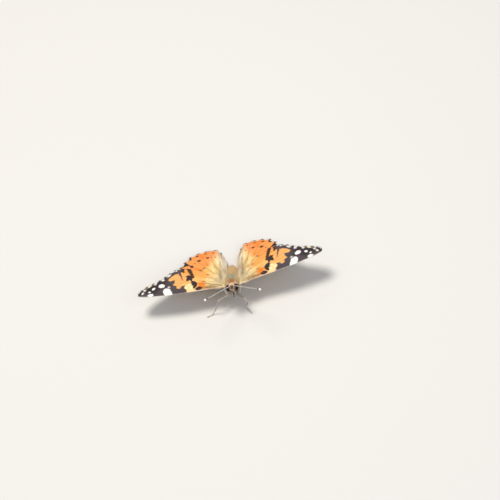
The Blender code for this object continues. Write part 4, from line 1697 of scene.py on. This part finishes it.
@dataclass
class Palp:
    """One of the two furry palps in front of the face."""

    side: Side
    stance: Stance
    path: tuple[Ring, ...] = (
        (0.66, -5.2, -0.60, 0.26), (0.66, -6.3, -0.75, 0.33), (0.60, -7.3, -0.30, 0.31),
        (0.50, -8.1, 0.40, 0.10),
    )
    cells: tuple[int, int] = (14, 24)
    scales: int = 1500
    scale_length: Point = (0.22, 0.45)
    scale_width: Point = (0.035, 0.06)
    scale_rise: Point = (0.10, 0.35)
    outer: str = "#94897B"
    inner: str = "#EAE2D4"

    def core(self, sweep: Sweep) -> bpy.types.Object:
        """Makes the horny core, dark at its tip.

        Args:
            sweep: the palp's path.

        Returns:
            The piece.
        """

        def pigment(turn: Array, share: Array) -> Array:
            """Pale at the root and dark at the tip."""
            base = blend(linear(self.inner), linear(self.outer), smoothstep(0.2, 0.8, share)) * 0.7
            return base * (1 - 0.7 * smoothstep(0.88, 0.96, share))[:, None]

        name = f"palp_{self.side.word}"
        core = rolled_grid(name + "_core", *self.cells, sweep.surface, pigment, self.stance)
        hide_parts(name)
        return core

    def build(self) -> list[bpy.types.Object]:
        """Makes the palp and its scales, which close in on its tip.

        Returns:
            Core and scales.
        """
        sweep = Sweep(tuple((self.side.value * x, y, z, r) for x, y, z, r in self.path))
        core = self.core(sweep)
        rng = np.random.default_rng(71)
        place, normal, onward, turn, share = sweep.scattered(self.scales, 0.02, 0.99, rng)
        count = len(place)
        onward = onward * np.sign(np.sum(onward * np.array([0, -1, 0.2]), 1))[:, None]
        onward = onward - normal * (0.6 * smoothstep(0.70, 0.98, share))[:, None]
        shade = normal[:, 2] + 0.5 * rng.normal(size=count) + 2.0 * smoothstep(0.75, 0.92, share)
        scales = Tufts(
            root=place - 0.03 * normal,
            normal=normal,
            lie=onward,
            length=rng.uniform(*self.scale_length, count) * (1.15 - 0.55 * share),
            width=rng.uniform(*self.scale_width, count),
            rise=rng.uniform(*self.scale_rise, count) * (1.1 - share),
            colour=blend(linear(self.inner), linear(self.outer), smoothstep(-0.6, 0.7, shade)),
            patch=np.stack([turn, share], -1),
        )
        return [core, scales.build(f"palp_{self.side.word}_scales", self.stance)]


@dataclass
class Tongue:
    """The tongue, wound under the face."""

    stance: Stance
    centre: Place = (0.0, -5.75, -1.75)
    coil: float = 0.80
    outer_coils: float = 1.25
    inner_coils: float = 0.35
    start: float = 60.0
    winding: float = 560.0
    stations: int = 13
    radius: float = 0.13
    cells: tuple[int, int] = (12, 120)
    ring_radians: float = 180.0
    amber: str = "#3A2418"

    def path(self) -> tuple[Ring, ...]:
        """Winds the tongue inward.

        Returns:
            The path's places and radii.
        """
        share = np.linspace(0, 1, self.stations)
        turn = np.radians(self.start - self.winding * share)
        reach = self.coil * (self.outer_coils - (self.outer_coils - self.inner_coils) * share)
        ahead = self.centre[1] + reach * np.cos(turn)
        above = self.centre[2] + reach * np.sin(turn)
        return tuple((0.0, y, z, self.radius) for y, z in zip(ahead, above))

    def build(self) -> list[bpy.types.Object]:
        """Makes the coil.

        Returns:
            The one piece.
        """

        def pigment(turn: Array, share: Array) -> Array:
            """Dark amber with fine rings."""
            shade = 0.8 + 0.2 * np.cos(self.ring_radians * share)
            return np.tile(linear(self.amber), (len(turn), 1)) * shade[:, None]

        sweep = Sweep(self.path())
        coil = rolled_grid("proboscis_coil", *self.cells, sweep.surface, pigment, self.stance)
        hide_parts("proboscis")
        return [coil]


@dataclass
class Leg:
    """One leg through its joints, with scales, spurs and claws."""

    name: str
    stance: Stance
    joints: tuple[Ring, ...]
    walks: bool = True
    cells: tuple[int, int] = (14, 110)
    foot_start: float = 0.70
    foot_length: float = 0.30
    foot_beads: int = 5
    light_bands: int = 9
    scale_count: int = 1700
    scale_length: Point = (0.18, 0.36)
    scale_width: Point = (0.05, 0.08)
    scale_rise: Point = (0.05, 0.3)
    bristles: int = 22
    spur: float = 0.75
    bristle: float = 0.22
    claw: float = 0.32
    dark: str = "#9A8F82"
    light: str = "#E4DBCC"
    horn: str = "#3B2E25"

    def profile(self, share: Array) -> Array:
        """Finds how the leg swells in its three long segments and beads along the foot.

        Args:
            share: shares of its length.

        Returns:
            Factors for its radius.
        """
        swell = 1 + 0.10 * np.sin(math.pi * share * 3) ** 2
        foot = smoothstep(self.foot_start, self.foot_start + 0.04, share)
        bead = ((share - self.foot_start) * self.foot_beads / self.foot_length) % 1.0
        return swell * (1 + 0.16 * foot * (bead - 0.4))

    def pigment(self, turn: Array, share: Array) -> Array:
        """Colours the leg grey-brown above and paler in bands below.

        Args:
            turn: shares round it.
            share: shares of its length.

        Returns:
            Linear colours.
        """
        wave = np.sin(FULL_TURN * self.light_bands * share)
        band = smoothstep(0.3, 0.8, wave) * smoothstep(0.6, 0.75, share)
        cloud = 0.5 + 0.5 * noise(6 * turn, 60 * share, 81)
        return blend(linear(self.dark), linear(self.light), 0.45 * cloud + 0.35 * band)

    def spikes(self, sweep: Sweep) -> Tufts:
        """Sets two spurs at the shin's end, bristles down the foot and two claws.

        Args:
            sweep: the leg's path.

        Returns:
            The tufts.
        """
        rng = np.random.default_rng(83)
        spurs, claws = [self.foot_start] * 2, [0.985] * 2
        share = np.concatenate([spurs, np.linspace(0.72, 0.97, self.bristles), claws])
        long = np.concatenate([[self.spur] * 2, [self.bristle] * self.bristles, [self.claw] * 2])
        middle, first, second, radius = sweep.frames(share)
        sign = np.resize([1.0, -1.0], len(share))[:, None]
        out = unit(first * sign + 0.2 * rng.normal(size=first.shape))
        lie = unit(np.cross(first, second) + 0.35 * out)
        return Tufts(
            root=middle + out * (0.7 * radius)[:, None],
            normal=np.cross(lie, second),
            lie=lie,
            length=long,
            width=np.where(long > self.bristle, 0.11, 0.06),
            rise=np.zeros(len(share)),
            colour=np.tile(linear(self.horn), (len(share), 1)),
            patch=np.stack([np.full(len(share), 0.5), share], -1),
        )

    def scales(self, sweep: Sweep) -> Tufts:
        """Sets short scales over the leg, a little longer on the thigh.

        Args:
            sweep: the leg's path.

        Returns:
            The tufts.
        """
        rng = np.random.default_rng(82)
        place, normal, onward, turn, share = sweep.scattered(self.scale_count, 0.02, 0.97, rng)
        count = len(place)
        return Tufts(
            root=place - 0.02 * normal,
            normal=normal,
            lie=onward,
            colour=blend(linear(self.dark), linear(self.light), rng.uniform(0, 1, count)),
            length=rng.uniform(*self.scale_length, count) * np.where(share < 0.4, 1.4, 0.8),
            width=rng.uniform(*self.scale_width, count),
            rise=rng.uniform(*self.scale_rise, count),
            patch=np.stack([turn, share], -1),
        )

    def build(self) -> list[bpy.types.Object]:
        """Makes the leg's core, its scales and, on a walking leg, its spikes.

        Returns:
            The pieces.
        """
        sweep = Sweep(self.joints)

        def shape(turn: Array, share: Array) -> Array:
            """The core."""
            return sweep.surface(turn, share, self.profile(share))

        core = rolled_grid(self.name + "_core", *self.cells, shape, self.pigment, self.stance)
        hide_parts(self.name)
        pieces = [core, self.scales(sweep).build(self.name + "_scales", self.stance)]
        if self.walks:
            pieces.append(self.spikes(sweep).build(self.name + "_spurs", self.stance))
        return pieces


class Pair(Enum):
    """The pairs of legs that walk; the value is how their nodes' names start."""

    MID = "mid"
    HIND = "hind"


@dataclass
class Legs:
    """The six legs: the fore pair folded up by the head and two walking pairs on the floor."""

    stance: Stance
    femur: float = 0.33
    tibia: float = 0.24
    tarsus: float = 0.17
    foot_share: float = 0.55
    fore: tuple[Ring, ...] = (
        (1.15, -2.4, -2.3, 0.36), (1.75, -3.2, -2.5, 0.36), (2.75, -3.9, -0.1, 0.28),
        (2.45, -4.9, -0.9, 0.24), (1.85, -5.3, -2.2, 0.16),
    )
    hips: dict[Pair, Place] = field(
        default_factory=lambda: {Pair.MID: (0.70, -1.6, -4.0), Pair.HIND: (1.35, 1.5, -3.2)}
    )
    knees: dict[tuple[Pair, Side], Place] = field(
        default_factory=lambda: {
            (Pair.MID, Side.LEFT): (4.2, -7.3, -4.7), (Pair.MID, Side.RIGHT): (-5.6, -4.9, -3.7),
            (Pair.HIND, Side.LEFT): (6.0, 4.4, -2.6), (Pair.HIND, Side.RIGHT): (-6.0, 4.2, -2.8),
        }
    )
    ankles: dict[tuple[Pair, Side], Place] = field(
        default_factory=lambda: {
            (Pair.MID, Side.LEFT): (3.3, -6.6, 1.6), (Pair.MID, Side.RIGHT): (-7.8, -5.9, 1.6),
            (Pair.HIND, Side.LEFT): (8.4, 8.6, 1.5), (Pair.HIND, Side.RIGHT): (-8.2, 8.2, 1.5),
        }
    )
    feet: dict[tuple[Pair, Side], Point] = field(
        default_factory=lambda: {
            (Pair.MID, Side.LEFT): (4.7, -8.9), (Pair.MID, Side.RIGHT): (-11.0, -7.0),
            (Pair.HIND, Side.LEFT): (9.9, 11.4), (Pair.HIND, Side.RIGHT): (-9.8, 10.8),
        }
    )

    def walking(self, pair: Pair, side: Side) -> Leg:
        """Lays out one walking leg, whose ankle and foot are placed over the floor.

        Args:
            pair: which pair it is of.
            side: which side it is on.

        Returns:
            The leg.
        """
        hip = side.of(self.hips[pair])
        knee, ankle = np.array(self.knees[pair, side]), np.array(self.ankles[pair, side])
        ankle_low = self.stance.from_floor(ankle)
        foot = np.array([*self.feet[pair, side], self.tarsus])
        reach = foot[:2] - ankle[:2]
        heel = foot - np.array([*(reach * self.foot_share), 0.0])
        rows = (
            (*(hip * np.array([1, 1, 0.75])), 1.2 * self.femur),
            (*hip, 1.2 * self.femur),
            (*((hip + knee) / 2), self.femur),
            (*knee, 0.95 * self.tibia),
            (*(0.45 * knee + 0.55 * ankle_low), self.tibia),
            (*ankle_low, self.tarsus),
            (*self.stance.from_floor(heel), self.tarsus),
            (*self.stance.from_floor(foot), 0.95 * self.tarsus),
        )
        return Leg(f"{pair.value}leg_{side.word}", self.stance, rows)

    def build(self) -> list[bpy.types.Object]:
        """Makes all six.

        Returns:
            Their pieces.
        """
        pieces = []
        for side in Side:
            fore = tuple((side.value * x, y, z, r) for x, y, z, r in self.fore)
            pieces += Leg(f"foreleg_{side.word}", self.stance, fore, walks=False).build()
            for pair in Pair:
                pieces += self.walking(pair, side).build()
        return pieces


def add_node(
    tree: bpy.types.NodeTree, kind: str, settings: dict | None = None, inputs: dict | None = None
) -> bpy.types.Node:
    """Adds a node with its settings and links.

    Args:
        tree: the material's tree.
        kind: the node's type name.
        settings: properties to set.
        inputs: values for input sockets, or output sockets to link to them.

    Returns:
        The node.
    """
    node = tree.nodes.new(kind)
    for name, value in (settings or {}).items():
        setattr(node, name, value)
    for name, value in (inputs or {}).items():
        if isinstance(value, bpy.types.NodeSocket):
            tree.links.new(value, node.inputs[name])
        else:
            node.inputs[name].default_value = value
    return node


@dataclass(frozen=True)
class Finish:
    """A surface whose colour is the pigment laid on its mesh, with grain and relief of its own."""

    name: str
    roughness: float
    grain_mm: float
    grain_depth: float
    relief: float
    relief_mm: float
    shine: float = 0.12
    sheen: float = 0.0
    coat: float = 0.0
    facets: bool = False
    relief_depth_mm: float = 0.05
    sheen_roughness: float = 0.45
    coat_roughness: float = 0.12

    def material(self) -> bpy.types.Material:
        """Builds the material.

        Returns:
            It, with its nodes linked.
        """
        made = bpy.data.materials.new(self.name)
        made.use_nodes = True
        tree = made.node_tree
        tree.nodes.clear()
        pigment = add_node(tree, "ShaderNodeVertexColor", {"layer_name": PIGMENT})
        place = add_node(tree, "ShaderNodeTexCoord").outputs["Object"]
        # Grain: a cloudy pattern darkens the pigment, which is then lifted back.
        grain = add_node(tree, "ShaderNodeTexNoise", None,
                         {"Vector": place, "Scale": 1 / (self.grain_mm * MM), "Detail": 3.0})
        dark = add_node(tree, "ShaderNodeMix", {"data_type": "RGBA", "blend_type": "MULTIPLY"},
                        {"Factor": self.grain_depth, 6: pigment.outputs["Color"], 7: grain.outputs["Color"]})
        lift = add_node(tree, "ShaderNodeHueSaturation", None,
                        {"Color": dark.outputs[2], "Value": 1 + 0.5 * self.grain_depth})
        # Relief: domes on an eye, and a fine unevenness elsewhere.
        relief = {"Vector": place, "Scale": 1 / (self.relief_mm * MM)}
        if self.facets:
            domes = add_node(tree, "ShaderNodeTexVoronoi", {"feature": "SMOOTH_F1"}, relief)
            height = domes.outputs["Distance"]
        else:
            rough = add_node(tree, "ShaderNodeTexNoise", None, {**relief, "Detail": 2.0})
            height = rough.outputs["Fac"]
        bump = add_node(tree, "ShaderNodeBump", None,
                        {"Height": height, "Strength": self.relief, "Distance": self.relief_depth_mm * MM})
        shader = add_node(tree, "ShaderNodeBsdfPrincipled", None, {
            "Base Color": lift.outputs["Color"],
            "Roughness": self.roughness,
            "Specular IOR Level": self.shine,
            "Normal": bump.outputs["Normal"],
            "Sheen Weight": self.sheen,
            "Sheen Roughness": self.sheen_roughness,
            "Coat Weight": self.coat,
            "Coat Roughness": self.coat_roughness,
        })
        add_node(tree, "ShaderNodeOutputMaterial", None, {"Surface": shader.outputs["BSDF"]})
        return made


# Wing scales lie in rows like roof tiles: a soft sheen and a fine grain.
WING_SCALE_ROWS = Finish(
    "wing_scale_rows", roughness=0.62, grain_mm=0.16, grain_depth=0.25, relief=0.6, relief_mm=0.14,
    sheen=0.04,
)
# Silky hair: matt, with a little sheen at the edges.
BUTTERFLY_FUR = Finish(
    "butterfly_fur", roughness=0.75, grain_mm=0.20, grain_depth=0.20, relief=0.2, relief_mm=0.10,
    sheen=0.05,
)
# The horny skin under the fur: dull and pitted.
HORNY_SKIN = Finish(
    "horny_skin", roughness=0.80, grain_mm=0.25, grain_depth=0.35, relief=0.5, relief_mm=0.20,
)
# A compound eye: tiny lenses that break up the gloss of their clear coat.
# They are drawn three times too large, so that they show.
EYE_LENSES = Finish(
    "eye_lenses", roughness=0.42, grain_mm=0.30, grain_depth=0.15, relief=0.5, relief_mm=0.09,
    shine=0.08, coat=0.12, facets=True,
)
# Feelers and tongue are bare horn with fine scales: smoother, with a faint gloss.
RINGED_HORN = Finish(
    "ringed_horn", roughness=0.48, grain_mm=0.12, grain_depth=0.15, relief=0.3, relief_mm=0.08, coat=0.1,
)
# Legs are horn under short grey scales: nearly matt, with a fine grain.
LEG_SCALING = Finish(
    "leg_scaling", roughness=0.66, grain_mm=0.14, grain_depth=0.25, relief=0.5, relief_mm=0.10,
    sheen=0.04,
)


@dataclass(frozen=True)
class Lamp:
    """A square soft light aimed at the animal: its place and edge in metres, and its power in watts."""

    name: str
    place: Place
    size: float
    power: float
    colour: str

    def build(self) -> None:
        """Adds the light."""
        data = bpy.data.lights.new(self.name, "AREA")
        data.shape = "SQUARE"
        data.size = self.size
        data.energy = self.power
        data.color = tuple(linear(self.colour))
        light = bpy.data.objects.new(self.name, data)
        light.location = self.place
        light.rotation_euler = Vector(self.place).to_track_quat("Z", "Y").to_euler()
        bpy.context.scene.collection.objects.link(light)


@dataclass
class Studio:
    """A pale floor, soft lights and the camera."""

    stance: Stance
    elevation: float = math.radians(34.8)
    azimuth: float = math.radians(5.6)
    roll: float = math.radians(14.3)
    distance: float = 600.0
    pixels_per_mm: float = 2.880
    frame_pixels: float = 500.0
    middle_column: float = 231.9
    middle_row: float = 280.7
    sensor: float = 36.0
    nearest: float = 0.01
    farthest: float = 20.0
    floor_size: float = 3.0
    floor_colour: str = "#DAD8D4"
    floor_roughness: float = 0.9
    air_colour: str = "#EEF1F5"
    air_strength: float = 0.45
    lamps: tuple[Lamp, ...] = (
        Lamp("key", (-0.14, 0.14, 0.88), 0.34, 6.9, "#FFFAF2"),
        Lamp("fill", (0.45, -0.65, 0.55), 0.60, 3.0, "#EEF3FF"),
    )

    def axes(self) -> tuple[Array, Array, Array]:
        """Finds the camera's directions in the wing plane, with its roll.

        Returns:
            Right, up and backward.
        """
        ce, se = math.cos(self.elevation), math.sin(self.elevation)
        ca, sa = math.cos(self.azimuth), math.sin(self.azimuth)
        back = np.array([sa * ce, -ca * ce, se])
        right = np.array([ca, sa, 0.0])
        up = np.cross(back, right)
        c, s = math.cos(self.roll), math.sin(self.roll)
        return right * c - up * s, right * s + up * c, back

    def camera(self) -> None:
        """Adds the camera, aimed so that the body's middle falls where the photo has it."""
        right, up, back = self.axes()
        half = self.frame_pixels / 2
        aside = (half - self.middle_column) / self.pixels_per_mm
        above = (self.middle_row - half) / self.pixels_per_mm
        target = self.stance.world((aside * right + above * up)[None])[0]
        seat = self.stance.world((self.distance * back)[None])[0]
        away = Vector(seat - target).normalized()
        level = Vector(self.stance.turn @ right)
        level = (level - away * level.dot(away)).normalized()
        upward = away.cross(level)
        data = bpy.data.cameras.new("camera")
        data.sensor_width = self.sensor
        data.lens = self.sensor * self.pixels_per_mm * self.distance / self.frame_pixels
        data.clip_start = self.nearest
        data.clip_end = self.farthest
        camera = bpy.data.objects.new("camera", data)
        bpy.context.scene.collection.objects.link(camera)
        rows = Matrix((level, upward, away)).transposed()
        camera.matrix_world = Matrix.Translation(Vector(seat)) @ rows.to_4x4()
        bpy.context.scene.camera = camera

    def floor(self) -> None:
        """Adds the plain pale floor."""
        bpy.ops.object.select_all(action="DESELECT")
        bpy.ops.mesh.primitive_plane_add(size=self.floor_size, location=(0, 0, 0))
        floor = bpy.context.object
        floor.name = "floor"
        made = bpy.data.materials.new("pale_floor")
        made.use_nodes = True
        shader = made.node_tree.nodes["Principled BSDF"]
        shader.inputs["Base Color"].default_value = (*linear(self.floor_colour), 1.0)
        shader.inputs["Roughness"].default_value = self.floor_roughness
        floor.data.materials.append(made)

    def air(self) -> None:
        """Adds the even light from all round."""
        world = bpy.data.worlds.new("studio_air")
        world.use_nodes = True
        background = world.node_tree.nodes["Background"]
        background.inputs["Color"].default_value = (*linear(self.air_colour), 1.0)
        background.inputs["Strength"].default_value = self.air_strength
        bpy.context.scene.world = world

    def build(self) -> None:
        """Sets up floor, lights, air and camera."""
        self.floor()
        for lamp in self.lamps:
            lamp.build()
        self.air()
        bpy.context.scene.view_settings.view_transform = "Standard"
        self.camera()


def dress(pieces: Sequence[bpy.types.Object], finish: bpy.types.Material) -> None:
    """Gives pieces their finish, and ties them to the one body.

    Args:
        pieces: what to dress.
        finish: their material.
    """
    for piece in pieces:
        piece.data.materials.clear()
        piece.data.materials.append(finish)
        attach(piece, "root")
        LOG.info("%s: %d faces", piece.name, len(piece.data.polygons))


def main() -> None:
    """Builds and dresses the butterfly, then the studio round it."""
    logging.basicConfig(level=logging.INFO, format="%(message)s")
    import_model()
    stance = Stance()
    scales, fur, skin = (f.material() for f in (WING_SCALE_ROWS, BUTTERFLY_FUR, HORNY_SKIN))
    lenses, horn, legs = (f.material() for f in (EYE_LENSES, RINGED_HORN, LEG_SCALING))
    for side in Side:
        for word, plan in (("forewing", FOREWING), ("hindwing", HINDWING)):
            sheet, fringe, hairs = Wing(word, plan, side, stance).build()
            dress([sheet, fringe], scales)
            dress([hairs], fur)
        dress(Eye(side, stance).build(), lenses)
        dress([Eye(side, stance).rim()], fur)
        dress(Antenna(side, stance).build(), horn)
        dress(Palp(side, stance).build(), fur)
    body = Body(stance).build()
    dress(body[:1], skin)
    dress(body[1:], fur)
    dress(Tongue(stance).build(), horn)
    dress(Legs(stance).build(), legs)
    Studio(stance).build()


if __name__ == "__main__":
    main()
